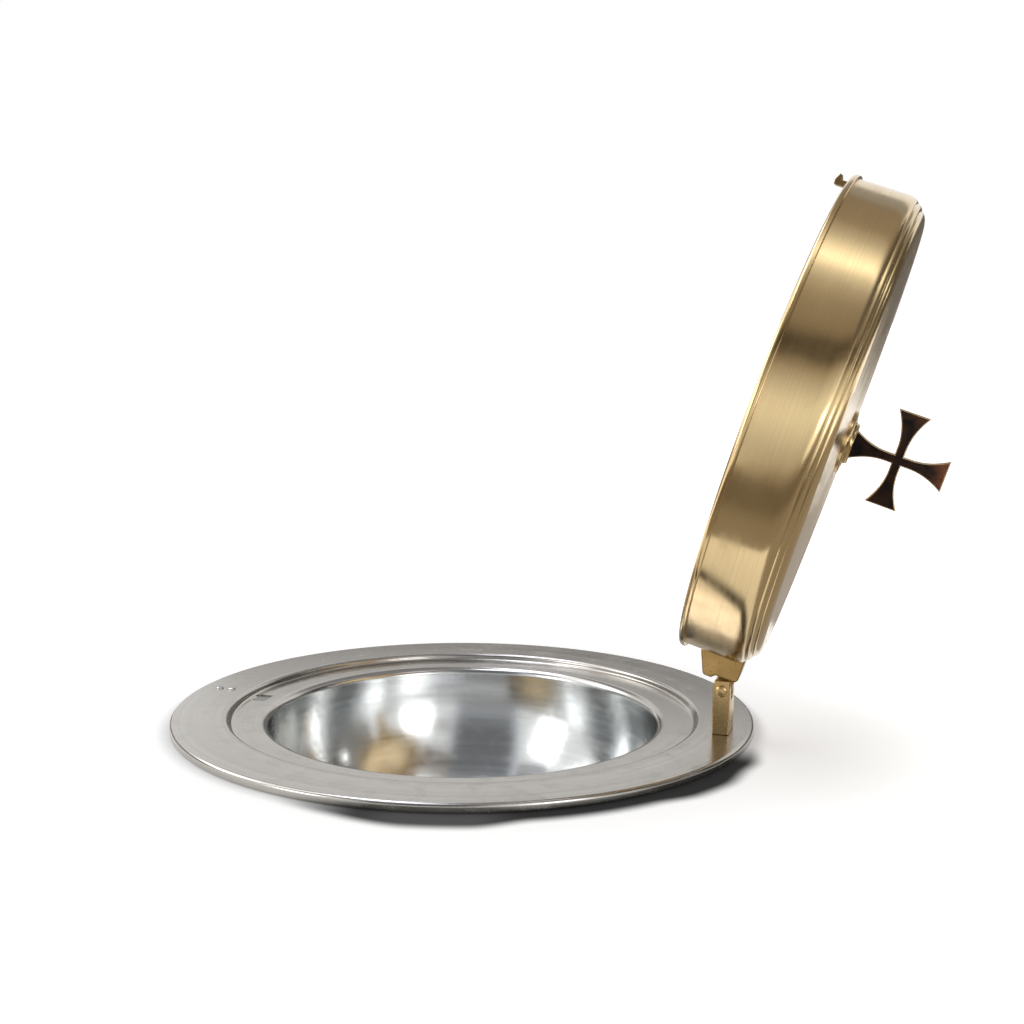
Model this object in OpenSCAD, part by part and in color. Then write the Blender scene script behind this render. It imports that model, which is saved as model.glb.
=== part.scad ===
// Drop-in sacrarium: a spun stainless basin with a hinged brass cover, drawn with the cover open.
// The origin is the flange's centre on the worktop. +X points to the hinge and +Z is up.

/* [Flange] */
// Diameter over the rolled edge
flange_d = 302; // [297:1:328]
// Height of the flange's top above the worktop
flange_h = 5; // [4.8:0.1:6.5]
// Radius of the rolled upper edge
edge_r = 1.8; // [1.5:0.1:2.2]
// Radius at the foot of the rolled edge
foot_r = 1.5; // [1.3:0.1:1.8]
// Width of the lip that is rolled under and rests on the worktop
lip_w = 4; // [3:0.5:6]
// Thickness of the basin's sheet
sheet = 1.2; // [1:0.05:1.3]

/* [Recess and bowl] */
// Width of the flange's flat band, from its edge to the recess that takes the cover's rim
band_w = 30; // [27:0.5:35]
// Depth of the recess below the flange
recess_h = 3.5; // [3.3:0.1:4]
// Radius over the recess's upper edge
recess_edge_r = 2; // [1.8:0.1:2.2]
// Radius in the recess's corner
recess_corner_r = 1.4; // [1:0.1:1.5]
// Width of the recess's floor, from its wall to the bowl's mouth
ledge_w = 20; // [17:0.5:26]
// Radius over the bowl's mouth
bowl_edge_r = 4; // [3:0.1:5]
// Depth that the bowl would have if it closed below its mouth
bowl_h = 96; // [80:1:110]

/* [Drain] */
// Diameter of the flat seat for the drain
seat_d = 68; // [67:0.5:76]
// Depth of the seat below the bowl
seat_h = 2.6; // [2.4:0.1:3.5]
// Diameter of the drain flange
drain_d = 63; // [61:0.5:65]
// Height of the drain flange
drain_t = 1.8; // [1.4:0.1:2.4]
// Diameter of the threaded shank
shank_d = 47.8; // [47:0.1:48.5]
// Wall of the shank
shank_wall = 3.5; // [3:0.1:4]
// Length of the shank below the seat
shank_l = 48; // [44:1:60]
// Diameter of the grid in the drain
grid_d = 44.6; // [43.6:0.1:45]
// Thickness of the grid
grid_t = 1.6; // [1.2:0.1:2]
// Diameter of the grid's holes
grid_hole_d = 4; // [3:0.1:4.2]
// Distance between the rings of holes
grid_pitch = 5; // [4.8:0.05:5.1]
// Thickness of the rubber gasket
gasket_t = 3; // [2:0.5:4]
// Width of the gasket's ring
gasket_w = 8.2; // [7:0.1:8.4]
// Thickness of the friction washer
washer_t = 1; // [0.8:0.1:1.5]
// Height of the lock nut
lock_nut_h = 7; // [5:0.5:8]
// Width of the lock nut over its flats
lock_nut_af = 58; // [56:0.5:62]
// Height of the slip nut
slip_nut_h = 18; // [16:0.5:20]
// Width of the slip nut over its flats
slip_nut_af = 54; // [53.5:0.5:58]
// Diameter of the tail pipe
tail_d = 38.1; // [37.5:0.1:38.5]
// Wall of the tail pipe
tail_wall = 1; // [0.8:0.1:1.5]
// Length of the tail pipe below its flange
tail_l = 76; // [60:1:120]
// Height of the collar under the tail pipe's flange
collar_h = 6; // [5:0.5:8]
// Thickness of the collar on the tail pipe
collar_t = 0.2; // [0.15:0.01:0.3]
// Thickness of the slip joint's rubber washer
tail_washer_t = 2.5; // [2:0.1:3]

/* [Cover] */
// Gap between the cover's rim and the recess
rim_gap = 1.8; // [1.5:0.1:2.4]
// Gap under the closed cover's rim
rim_lift = 0.3; // [0.2:0.05:0.5]
// Width by which the rim ring stands proud of the drum
rim_step = 1.6; // [1.2:0.1:2]
// Radius under the rim ring
rim_r = 2; // [1.5:0.1:2.4]
// Thickness of the cover's sheet
shell_t = 1.2; // [1:0.05:1.3]
// Height of the drum's straight wall
drum_h = 22; // [20:0.5:26]
// Width and height of the crown's first moulding
bead_1 = [2.4, 6.6];
// Width and height of the crown's second moulding
bead_2 = [2.6, 2.8];
// Width and height of the crown's third moulding
bead_3 = [7, 3.4];
// Width of the crease between two mouldings
crease_w = 0.7; // [0.5:0.05:1]
// Rise of the crown's top
dome_h = 0.9; // [0.4:0.1:2]
// Height of the ring's spigot inside the drum
spigot_h = 8; // [7:0.5:10]
// Thickness of the ring's spigot
spigot_t = 1.6; // [1.4:0.1:2]

/* [Hinge] */
// Distance from the drum to the hinge pin
hinge_reach = 18.4; // [17:0.1:20]
// Height of the hinge pin above the flange
pivot_h = 22.3; // [21.3:0.1:23.5]
// Angle from the closed to the open cover
open_angle = 108; // [100:1:112]
// Thickness of the hinge post, along the radius
post_t = 8.5; // [8:0.1:9]
// Width of the hinge post and of the lug
post_w = 18; // [16:0.5:22]
// Height of the fork above the hinge pin
ear_h = 5.3; // [5.1:0.1:5.6]
// Width of the fork's slot
slot_w = 7; // [5:0.1:8]
// Clearance on each side of the tongue in the slot
slot_gap = 0.1; // [0.05:0.01:0.2]
// Diameter of the hinge pin
pin_d = 4; // [3.5:0.1:4.2]
// Radial clearance of the hinge pin
pin_gap = 0.05; // [0.02:0.01:0.08]
// Clearance at the stop of the open cover
stop_gap = 0.05; // [0.03:0.01:0.1]
// Height of the lug's foot above the flange
lug_foot_h = 6; // [5:0.5:7]
// Thickness of the lug's foot on the drum
lug_foot_t = 2.6; // [2:0.1:3.2]
// Radius over the lug's back edge
lug_r = 2; // [1.5:0.1:2.5]
// Diameter of the hinge's screws
hinge_screw_d = 4; // [3:0.1:4.5]
// Distance between the hinge's screws
hinge_screw_pitch = 10; // [9:0.5:11]

/* [Latch] */
// Width of the latch tongue
latch_w = 10; // [8:0.5:12]
// Thickness of the latch tongue
latch_t = 3; // [2:0.1:3.2]
// Length of the latch tongue below the flange when the cover is closed
latch_l = 11; // [10:0.1:12.5]
// Width of the latch tongue's nose
nose_w = 2.5; // [2:0.1:2.8]
// Clearance of the latch in its slot
latch_gap = 1; // [0.8:0.1:1.4]
// Thickness of the catch spring
leaf_t = 0.8; // [0.5:0.05:0.9]
// Width of the catch spring
leaf_w = 9; // [8:0.5:11]
// Diameter of the catch's screws
catch_screw_d = 2.5; // [2:0.1:3.2]
// Distance between the catch's screws
catch_pitch = 7; // [6.5:0.1:8]
// Distance from the recess to the nearer catch screw
catch_inset = 11.5; // [10:0.5:12.5]
// Length of the catch spring below the flange
leaf_drop = 9.5; // [8:0.5:11]

/* [Cross] */
// Length of the cross over its arms
cross_l = 46.8; // [36:0.1:60]
// Width of an arm's end
arm_end_w = 15.6; // [12:0.1:19]
// Width of an arm at its waist
arm_waist_w = 4.6; // [3.5:0.1:6]
// Length of the straight waist from the cross's centre
waist_l = 6; // [4:0.1:8]
// Thickness of the cross
cross_t = 3; // [2:0.1:4]
// Diameter of the collar under the cross
rosette_d = 30.6; // [27:0.1:36]
// Height of the collar's lower disc
rosette_h = 2.2; // [1.6:0.1:3]
// Height of the collar's boss
boss_h = 2; // [1.6:0.1:3]
// Depth of the cross's foot in the boss
foot_depth = 1.4; // [1:0.1:1.5]
// Diameter of the stud under the collar
stud_d = 6; // [5:0.1:7]

/* [Hidden] */
flange_r = flange_d / 2;
recess_r = flange_r - band_w;
bowl_r = recess_r - ledge_w;
seat_r = seat_d / 2;
shank_r = shank_d / 2;
grid_r = grid_d / 2;
tail_r = tail_d / 2;
thread_gap = 0.1;
gasket_r = shank_r + 0.3 + gasket_w;
ledge_z = flange_h - recess_h;
bowl_z = ledge_z - bowl_edge_r;
seat_angle = acos(seat_r / bowl_r);
seat_z = bowl_z - bowl_h * sin(seat_angle) - seat_h;
shank_z = seat_z - shank_l;
tail_z = shank_z - tail_washer_t;
tail_rim_t = 1.4;
grid_z = seat_z - 3;
lock_nut_z = seat_z - sheet - gasket_t - washer_t - lock_nut_h;
spider_z = grid_z - 6;

ring_r = recess_r - rim_gap;
drum_r = ring_r - rim_step;
drum_in = drum_r - shell_t;
ring_in = drum_in - spigot_t;
ring_t = recess_h - rim_lift;
bead_end = 80;
bead_2_x = drum_r - bead_1[0] * (1 - cos(bead_end)) - crease_w;
bead_2_z = drum_h + bead_1[1] * sin(bead_end);
bead_3_x = bead_2_x - bead_2[0] * (1 - cos(bead_end)) - crease_w;
bead_3_z = bead_2_z + bead_2[1] * sin(bead_end);
crown_r = bead_3_x - bead_3[0];
crown_z = bead_3_z + bead_3[1];
top_z = crown_z + dome_h;
top_flat_r = rosette_d / 2 + 1;

hinge_r = drum_r + hinge_reach;
pin_r = pin_d / 2;
tongue_w = slot_w - 2 * slot_gap;
tongue_r = post_t / 2 - 0.1;
shoulder = post_t / 2 * -cos(open_angle) + ear_h * sin(open_angle) + stop_gap;
slot_floor = pivot_h - tongue_r - 1.3;
post_screw_l = 11;
under_z = flange_h - sheet;
post_washer_t = 0.8;
lug_top = drum_h + 6.2;
lug_screw_l = 11;
lug_screw_z = lug_foot_h + 6.5;
lug_backing_t = 3;

latch_x = sqrt(ring_in * ring_in - latch_w * latch_w / 4);
latch_slot_in = latch_x - latch_t - latch_gap;
latch_slot_out = latch_x + nose_w + 1.4 + latch_gap;
catch_x = recess_r + catch_inset;
catch_head_h = 1.1;
rivet_r = 1.4;
rivet_y = 3;
rivet_z = spigot_h / 2;

rosette_z = top_z + rosette_h + boss_h;
cross_z = rosette_z - foot_depth + cross_l / 2;
stud_r = stud_d / 2;

$fn = 96;

// Points on an arc or an ellipse about c, from angle a0 to angle a1
function arc(c, rx, ry, a0, a1, n) =
    [for (i = [0:n]) let (a = a0 + (a1 - a0) * i / n) [c[0] + rx * cos(a), c[1] + ry * sin(a)]];
function round_arc(c, r, a0, a1) = arc(c, r, r, a0, a1, 8);
function unit(v) = v / norm(v);
function left(v) = [-v[1], v[0]];
function side(p, i) = left(unit(p[i + 1] - p[i]));
function shift(p, i) =
    let (a = side(p, max(i - 1, 0)), b = side(p, min(i, len(p) - 2))) (a + b) / (1 + a * b);
function offset_path(p, t) = [for (i = [0:len(p) - 1]) p[i] + t * shift(p, i)];
function reversed(p) = [for (i = [len(p) - 1:-1:0]) p[i]];
function distinct(p) = [for (i = [0:len(p) - 1]) if (i == 0 || norm(p[i] - p[i - 1]) > 0.001) p[i]];
// Outline of a sheet of thickness t that lies to the left of the path p
function sheet_outline(p, t) = let (q = distinct(p)) concat(q, reversed(offset_path(q, t)));
// A quarter of a rounded screw head's section, of radius r and height h
function dome(r, h) = concat([[0, 0]], arc([0, 0], r, h, 0, 90, 6));

// A ring's worth of the section drawn by points, as radius and height
module revolve(points) {
    rotate_extrude($fn = 180) polygon(points);
}

// A plate whose outline is drawn in X and Z, centred on Y
module upright(width) {
    rotate([90, 0, 0]) linear_extrude(height = width, center = true) children();
}

module ring(r_in, r_out, z, h) {
    revolve([[r_in, z], [r_out, z], [r_out, z + h], [r_in, z + h]]);
}

// A hexagon nut with a round bore, standing on z
module hex_nut(af, bore_r, z, h) {
    translate([0, 0, z]) difference() {
        cylinder(r = af / 2 / cos(30), h = h, $fn = 6);
        translate([0, 0, -1]) cylinder(r = bore_r, h = h + 2);
    }
}

// Places what is drawn in the closed cover's frame, with z from the flange's top, at the open angle
module opened() {
    translate([hinge_r, 0, flange_h + pivot_h]) rotate([0, open_angle, 0])
        translate([-hinge_r, 0, -pivot_h]) children();
}

// Turns what is drawn towards +X to the side opposite the hinge
module far_side() {
    rotate([0, 0, 180]) children();
}

// The basin's upper surface, from the rolled lip over the flange and down to the drain
basin_path = concat(
    [[flange_r - lip_w, 0]],
    round_arc([flange_r - foot_r, foot_r], foot_r, -90, 0),
    round_arc([flange_r - edge_r, flange_h - edge_r], edge_r, 0, 90),
    round_arc([recess_r + recess_edge_r, flange_h - recess_edge_r], recess_edge_r, 90, 180),
    round_arc([recess_r - recess_corner_r, ledge_z + recess_corner_r], recess_corner_r, 0, -90),
    round_arc([bowl_r + bowl_edge_r, bowl_z], bowl_edge_r, 90, 180),
    arc([0, bowl_z], bowl_r, -bowl_h, 0, seat_angle, 36),
    [[seat_r - 1.2, seat_z], [shank_r + 0.9, seat_z]]
);

// One sheet from the rolled lip to the drain's seat, with holes for the hinge and catch and a latch slot
module basin() {
    color("lightsteelblue") difference() {
        revolve(sheet_outline(basin_path, sheet));
        for (s = [-1, 1])
            translate([hinge_r, s * hinge_screw_pitch / 2, 0])
                cylinder(d = hinge_screw_d + 0.3, h = flange_h + 1);
        far_side() for (i = [0, 1])
            translate([catch_x + i * catch_pitch, 0, 0])
                cylinder(d = catch_screw_d + 0.2, h = flange_h + 1);
        far_side() translate([latch_slot_in, -latch_w / 2 - latch_gap, ledge_z - 2 * sheet])
            cube([latch_slot_out - latch_slot_in, latch_w + 2 * latch_gap, 4 * sheet]);
    }
}

// The drain's body, with a shoulder for the grid in its mouth and a spider that takes the grid's screw
module drain_flange() {
    mouth_r = grid_r + 0.2;
    bore_r = shank_r - shank_wall;
    color("silver") {
        difference() {
            union() {
                revolve([
                    [bore_r, shank_z], [shank_r, shank_z], [shank_r, seat_z], [drain_d / 2, seat_z],
                    [drain_d / 2, seat_z + drain_t / 3], [drain_d / 2 - 1.6, seat_z + drain_t],
                    [mouth_r + 3, seat_z + drain_t], [mouth_r, seat_z + 0.2], [mouth_r, grid_z],
                    [bore_r, grid_z]
                ]);
                for (a = [0, 90])
                    rotate([0, 0, a]) translate([-bore_r - 0.5, -2, spider_z])
                        cube([2 * bore_r + 1, 4, 4]);
                translate([0, 0, spider_z]) cylinder(r = 5, h = 6);
            }
            translate([0, 0, spider_z - 1]) cylinder(r = 2, h = 8);
        }
    }
}

// A flat grid with three rings of round holes
module strainer() {
    color("gainsboro") translate([0, 0, grid_z]) difference() {
        cylinder(r = grid_r, h = grid_t);
        translate([0, 0, -1]) cylinder(r = 2.1, h = grid_t + 2);
        for (ring = [1:3], i = [0:6 * ring - 1])
            rotate([0, 0, i * 60 / ring]) translate([2.2 + grid_pitch * ring, 0, -1])
                cylinder(d = grid_hole_d, h = grid_t + 2, $fn = 24);
    }
}

// A round-headed screw that holds the grid to the spider
module strainer_screw() {
    color("silver") translate([0, 0, grid_z + grid_t]) {
        translate([0, 0, -grid_t - 5]) cylinder(r = 1.95, h = grid_t + 5.01);
        rotate_extrude() polygon(dome(4, 1.8));
    }
}

module drain_gasket() {
    color("dimgray") ring(gasket_r - gasket_w, gasket_r, seat_z - sheet - gasket_t, gasket_t);
}

module drain_washer() {
    color("peru")
        ring(gasket_r - gasket_w, gasket_r - 0.4, seat_z - sheet - gasket_t - washer_t, washer_t);
}

module lock_nut() {
    color("goldenrod")
        hex_nut(lock_nut_af, shank_r + thread_gap, lock_nut_z, lock_nut_h);
}

module tail_washer() {
    color("dimgray") ring(tail_r + 0.2, shank_r - 0.2, tail_z, tail_washer_t);
}

// A plain pipe with a flange at its top that the slip nut pulls up
module tail_pipe() {
    pipe_in = tail_r - tail_wall;
    color("silver") revolve([
        [pipe_in, tail_z - tail_rim_t - tail_l], [tail_r, tail_z - tail_rim_t - tail_l],
        [tail_r, tail_z - tail_rim_t - collar_h], [tail_r + collar_t, tail_z - tail_rim_t - collar_h],
        [tail_r + collar_t, tail_z - tail_rim_t], [shank_r - 0.6, tail_z - tail_rim_t],
        [shank_r - 0.6, tail_z],
        [pipe_in, tail_z]
    ]);
}

// A hexagon nut with a lip below that holds the tail pipe's flange
module coupling_nut() {
    lip_t = 2.5;
    base_z = tail_z - tail_rim_t - lip_t;
    color("silver") translate([0, 0, base_z]) difference() {
        cylinder(r = slip_nut_af / 2 / cos(30), h = slip_nut_h, $fn = 6);
        translate([0, 0, -1]) cylinder(r = tail_r + collar_t + 0.15, h = slip_nut_h);
        translate([0, 0, lip_t]) cylinder(r = shank_r + thread_gap, h = slip_nut_h);
    }
}

// A fork that stands on the flange, with its front upper corner cut back for the lug's shoulder
module hinge_post() {
    half = post_t / 2;
    color("goldenrod") difference() {
        translate([hinge_r, 0, flange_h]) difference() {
            upright(post_w) polygon([
                [-half, 0], [half, 0], [half, pivot_h + ear_h], [-half + 1.7, pivot_h + ear_h],
                [-half, pivot_h + ear_h - 1.9]
            ]);
            translate([-post_t, -slot_w / 2, slot_floor]) cube([2 * post_t, slot_w, pivot_h]);
        }
        translate([hinge_r, 0, flange_h + pivot_h]) rotate([90, 0, 0])
            cylinder(r = pin_r + 0.02, h = 2 * post_w, center = true);
        for (s = [-1, 1])
            translate([hinge_r, s * hinge_screw_pitch / 2, flange_h - 1])
                cylinder(d = hinge_screw_d - 0.04, h = post_screw_l - 1);
    }
}

module post_screws() {
    color("silver") for (s = [-1, 1])
        translate([hinge_r, s * hinge_screw_pitch / 2, under_z - post_washer_t]) {
            cylinder(d = hinge_screw_d - 0.1, h = post_screw_l - 1);
            translate([0, 0, -2.4]) cylinder(r = 3.4, h = 2.4);
        }
}

module post_washers() {
    color("silver") for (s = [-1, 1])
        translate([hinge_r, s * hinge_screw_pitch / 2, under_z - post_washer_t]) difference() {
            cylinder(r = 4.2, h = post_washer_t);
            translate([0, 0, -1]) cylinder(d = hinge_screw_d + 0.3, h = 3);
        }
}

// The pin has a low head on one side and a riveted end over a washer on the other
module hinge_pin() {
    color("darkgoldenrod") translate([hinge_r, 0, flange_h + pivot_h]) rotate([90, 0, 0]) {
        translate([0, 0, -post_w / 2 - 0.8]) cylinder(r = pin_r, h = post_w + 0.8);
        translate([0, 0, post_w / 2]) rotate_extrude() polygon(dome(pin_r + 1, 1.2));
        translate([0, 0, -post_w / 2 - 0.8]) mirror([0, 0, 1]) rotate_extrude()
            polygon(dome(pin_r + 0.7, 1.1));
    }
}

module pin_washer() {
    color("goldenrod") translate([hinge_r, post_w / 2 + 0.8, flange_h + pivot_h]) rotate([90, 0, 0])
        difference() {
            cylinder(r = pin_r + 1.8, h = 0.8);
            translate([0, 0, -1]) cylinder(r = pin_r + pin_gap, h = 3);
        }
}

// The lug's body lies on the drum, and its back is the shoulder that meets the fork when open
module hinge_lug() {
    shoulder_x = hinge_r - shoulder;
    knee_x = hinge_r - post_t / 2 - 0.35;
    color("goldenrod") opened() difference() {
        union() {
            upright(post_w) polygon(concat(
                [
                    [drum_r - 3, lug_foot_h], [drum_r + lug_foot_t, lug_foot_h],
                    [knee_x, lug_foot_h + 4.8], [knee_x, slot_floor - 1.8], [shoulder_x, slot_floor]
                ],
                round_arc([shoulder_x - lug_r, lug_top - lug_r], lug_r, 0, 90), [[drum_r - 3, lug_top]]
            ));
            translate([hinge_r, 0, pivot_h]) upright(tongue_w) union() {
                circle(r = tongue_r);
                translate([-shoulder - 2, -tongue_r]) square([shoulder + 2, 2 * tongue_r]);
            }
        }
        translate([0, 0, -1]) cylinder(r = drum_r, h = lug_top + 2, $fn = 180);
        translate([hinge_r, 0, pivot_h]) rotate([90, 0, 0])
            cylinder(r = pin_r + pin_gap, h = 2 * post_w, center = true);
        for (s = [-1, 1])
            translate([drum_r - 5, s * hinge_screw_pitch / 2, lug_screw_z]) rotate([0, 90, 0])
                cylinder(d = hinge_screw_d - 0.04, h = 5 + lug_screw_l - 4.4);
    }
}

module lug_screws() {
    color("goldenrod") opened() for (s = [-1, 1])
        translate([drum_in - lug_backing_t, s * hinge_screw_pitch / 2, lug_screw_z]) rotate([0, 90, 0]) {
            cylinder(d = hinge_screw_d - 0.1, h = lug_screw_l - 1);
            translate([0, 0, -2.4]) cylinder(r = 3.4, h = 2.4);
        }
}

// A curved backing plate inside the drum, behind the lug
module lug_plate() {
    plate_z = spigot_h + 0.2;
    color("goldenrod") opened() difference() {
        intersection() {
            translate([drum_in - lug_backing_t, -post_w / 2, plate_z])
                cube([lug_backing_t, post_w, drum_h - plate_z - 3]);
            cylinder(r = drum_in, h = drum_h, $fn = 180);
        }
        for (s = [-1, 1])
            translate([drum_in - 2 * lug_backing_t, s * hinge_screw_pitch / 2, lug_screw_z])
                rotate([0, 90, 0]) cylinder(d = hinge_screw_d + 0.3, h = 4 * lug_backing_t);
    }
}

// The cover's outer surface, up the drum, over the three mouldings and across the shallow dome
function dome_z(u) = top_z - dome_h * u * u;

lid_path = concat(
    [[drum_r, 0]],
    arc([drum_r - bead_1[0], drum_h], bead_1[0], bead_1[1], 0, bead_end, 10),
    arc([bead_2_x - bead_2[0], bead_2_z], bead_2[0], bead_2[1], 0, bead_end, 8),
    arc([bead_3_x - bead_3[0], bead_3_z], bead_3[0], bead_3[1], 0, 90, 8),
    [for (i = [1:8]) let (u = 1 - i / 8) [top_flat_r + u * (crown_r - top_flat_r), dome_z(u)]],
    [[stud_r + 0.3, top_z]]
);

// The cover's spun sheet, open below
module lid_shell() {
    color("goldenrod") opened() difference() {
        revolve(sheet_outline(lid_path, shell_t));
        for (s = [-1, 1])
            translate([drum_in - 3 * shell_t, s * hinge_screw_pitch / 2, lug_screw_z])
                rotate([0, 90, 0]) cylinder(d = hinge_screw_d + 0.3, h = 7 * shell_t);
    }
}

// The rim ring, rounded below, with a spigot inside the drum
module lid_ring() {
    color("darkgoldenrod") opened() difference() {
        revolve(distinct(concat(
            [[ring_in, -ring_t]],
            round_arc([ring_r - rim_r, rim_r - ring_t], rim_r, -90, 0),
            round_arc([ring_r - 0.5, -0.5], 0.5, 0, 90),
            [[drum_in, 0], [drum_in, spigot_h], [ring_in, spigot_h]]
        )));
        far_side() for (s = [-1, 1])
            translate([ring_in - 5, s * rivet_y, rivet_z]) rotate([0, 90, 0])
                cylinder(r = rivet_r + 0.02, h = 10);
    }
}

// A flat tongue with a hooked nose, riveted inside the ring opposite the hinge
module latch_tongue() {
    inner = latch_x - latch_t;
    color("goldenrod") opened() far_side() difference() {
        upright(latch_w) polygon([
            [inner, spigot_h], [latch_x, spigot_h], [latch_x, 3.2 - latch_l],
            [latch_x + nose_w, 2.2 - latch_l], [latch_x + nose_w, 1.6 - latch_l],
            [latch_x - 0.6, -latch_l], [inner, -latch_l]
        ]);
        for (s = [-1, 1])
            translate([inner - 1, s * rivet_y, rivet_z]) rotate([0, 90, 0])
                cylinder(r = rivet_r + 0.02, h = latch_t + 2);
    }
}

module tongue_rivets() {
    color("darkgoldenrod") opened() far_side() for (s = [-1, 1])
        translate([latch_x - latch_t, s * rivet_y, rivet_z]) rotate([0, 90, 0]) {
            cylinder(r = rivet_r, h = drum_in - 0.1 - latch_x + latch_t);
            translate([0, 0, -1.1]) cylinder(r = 2.4, h = 1.1);
        }
}

// The leaf lies under the flange and turns down behind the latch slot, bowed towards the nose
module catch_spring() {
    bend_x = recess_r + 2.2;
    bow_x = latch_slot_out - latch_gap + 0.4;
    leaf_path = [
        [catch_x + catch_pitch + 4, under_z - leaf_t], [bend_x + leaf_t, under_z - leaf_t],
        [bend_x + leaf_t, under_z - 0.5 * leaf_drop], [bow_x + leaf_t, under_z - 0.7 * leaf_drop],
        [bend_x, under_z - leaf_drop]
    ];
    color("lightgray") far_side() difference() {
        upright(leaf_w) polygon(sheet_outline(reversed(leaf_path), leaf_t));
        for (i = [0, 1])
            translate([catch_x + i * catch_pitch, 0, 0]) cylinder(d = catch_screw_d + 0.2, h = flange_h);
    }
}

module catch_screws() {
    color("silver") far_side() for (i = [0, 1])
        translate([catch_x + i * catch_pitch, 0, 0]) {
            translate([0, 0, 0.2]) cylinder(d = catch_screw_d, h = flange_h - 0.2);
            translate([0, 0, flange_h]) rotate_extrude() polygon(dome(0.85 * catch_screw_d, catch_head_h));
        }
}

module catch_nuts() {
    nut_h = 2.2;
    color("silver") far_side() for (i = [0, 1])
        translate([catch_x + i * catch_pitch, 0, 0])
            hex_nut(2 * catch_screw_d, catch_screw_d / 2 + 0.05, under_z - leaf_t - nut_h, nut_h);
}

// One side of an arm of the cross, straight at the waist and then flared out along a parabola
function arm_side(s) =
    let (rise = (arm_end_w - arm_waist_w) / 2, run = cross_l / 2 - waist_l, n = 10)
    [for (i = [0:n]) let (u = i / n) [waist_l + u * run, s * (arm_waist_w / 2 + rise * u * u)]];

arm_outline = concat(
    [[0, -arm_waist_w / 2]], arm_side(-1), reversed(arm_side(1)), [[0, arm_waist_w / 2]]
);

module cross() {
    color("darkgoldenrod") opened() translate([0, 0, cross_z]) upright(cross_t) union() {
        for (a = [0:90:270]) rotate(a) polygon(arm_outline);
    }
}

// A round collar under the cross, slotted for the cross's foot
module rosette() {
    boss_r = arm_end_w / 2 + 2.2;
    color("goldenrod") opened() difference() {
        revolve([
            [0, top_z], [rosette_d / 2, top_z], [rosette_d / 2, top_z + rosette_h - 0.5],
            [rosette_d / 2 - 0.5, top_z + rosette_h], [boss_r + 0.6, top_z + rosette_h],
            [boss_r, top_z + rosette_h + 0.6], [boss_r, rosette_z - 0.5], [boss_r - 0.5, rosette_z],
            [0, rosette_z]
        ]);
        translate([-arm_end_w / 2 - 0.05, -cross_t / 2 - 0.05, rosette_z - foot_depth])
            cube([arm_end_w + 0.1, cross_t + 0.1, foot_depth + 1]);
        translate([0, 0, top_z - 1]) cylinder(r = stud_r + 0.02, h = 1 + rosette_h);
    }
}

module cross_stud() {
    color("silver") opened() translate([0, 0, top_z - shell_t - 9])
        cylinder(r = stud_r, h = shell_t + 9 + rosette_h);
}

module stud_washer() {
    color("silver") opened() ring(stud_r + 0.2, stud_r + 6, top_z - shell_t - 1.4, 1.4);
}

module stud_nut() {
    color("silver") opened() hex_nut(10, stud_r + 0.05, top_z - shell_t - 1.4 - 5, 5);
}

basin();
drain_flange();
strainer();
strainer_screw();
drain_gasket();
drain_washer();
lock_nut();
tail_washer();
coupling_nut();
tail_pipe();
hinge_post();
post_screws();
post_washers();
hinge_pin();
pin_washer();
catch_spring();
catch_screws();
catch_nuts();
lid_shell();
lid_ring();
hinge_lug();
lug_screws();
lug_plate();
latch_tongue();
tongue_rivets();
rosette();
cross();
cross_stud();
stud_washer();
stud_nut();
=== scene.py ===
import math

import bmesh
import bpy
from mathutils import Matrix, Vector


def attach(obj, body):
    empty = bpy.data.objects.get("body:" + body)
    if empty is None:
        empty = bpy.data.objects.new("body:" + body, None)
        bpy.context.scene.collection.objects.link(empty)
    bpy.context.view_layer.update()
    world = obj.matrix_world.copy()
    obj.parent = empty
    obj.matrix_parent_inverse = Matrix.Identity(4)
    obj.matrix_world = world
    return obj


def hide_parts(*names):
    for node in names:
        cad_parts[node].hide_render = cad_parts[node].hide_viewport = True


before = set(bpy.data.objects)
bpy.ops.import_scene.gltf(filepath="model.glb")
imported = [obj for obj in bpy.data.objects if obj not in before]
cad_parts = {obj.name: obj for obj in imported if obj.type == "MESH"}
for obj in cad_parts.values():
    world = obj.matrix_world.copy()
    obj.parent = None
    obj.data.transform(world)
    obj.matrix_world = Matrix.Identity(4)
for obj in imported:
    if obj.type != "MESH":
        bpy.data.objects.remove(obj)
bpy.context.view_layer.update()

# The part's lengths and the worktop's are in millimetres, in the CAD's frame. The cover is made closed,
# with z from the flange's top, and then opened. The catch is made on the hinge's side and then turned
# half round. Materials, camera, lights and the studio's panels are in metres.
MM = 0.001

FLANGE_R, FLANGE_H, SHEET = 151.0, 5.0, 1.2
RECESS_R, RECESS_H = 121.0, 3.5
BOWL_R, BOWL_H, BOWL_EDGE = 101.0, 96.0, 4.0
LEDGE_Z = FLANGE_H - RECESS_H
BOWL_Z = LEDGE_Z - BOWL_EDGE
UNDER_Z = FLANGE_H - SHEET

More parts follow.
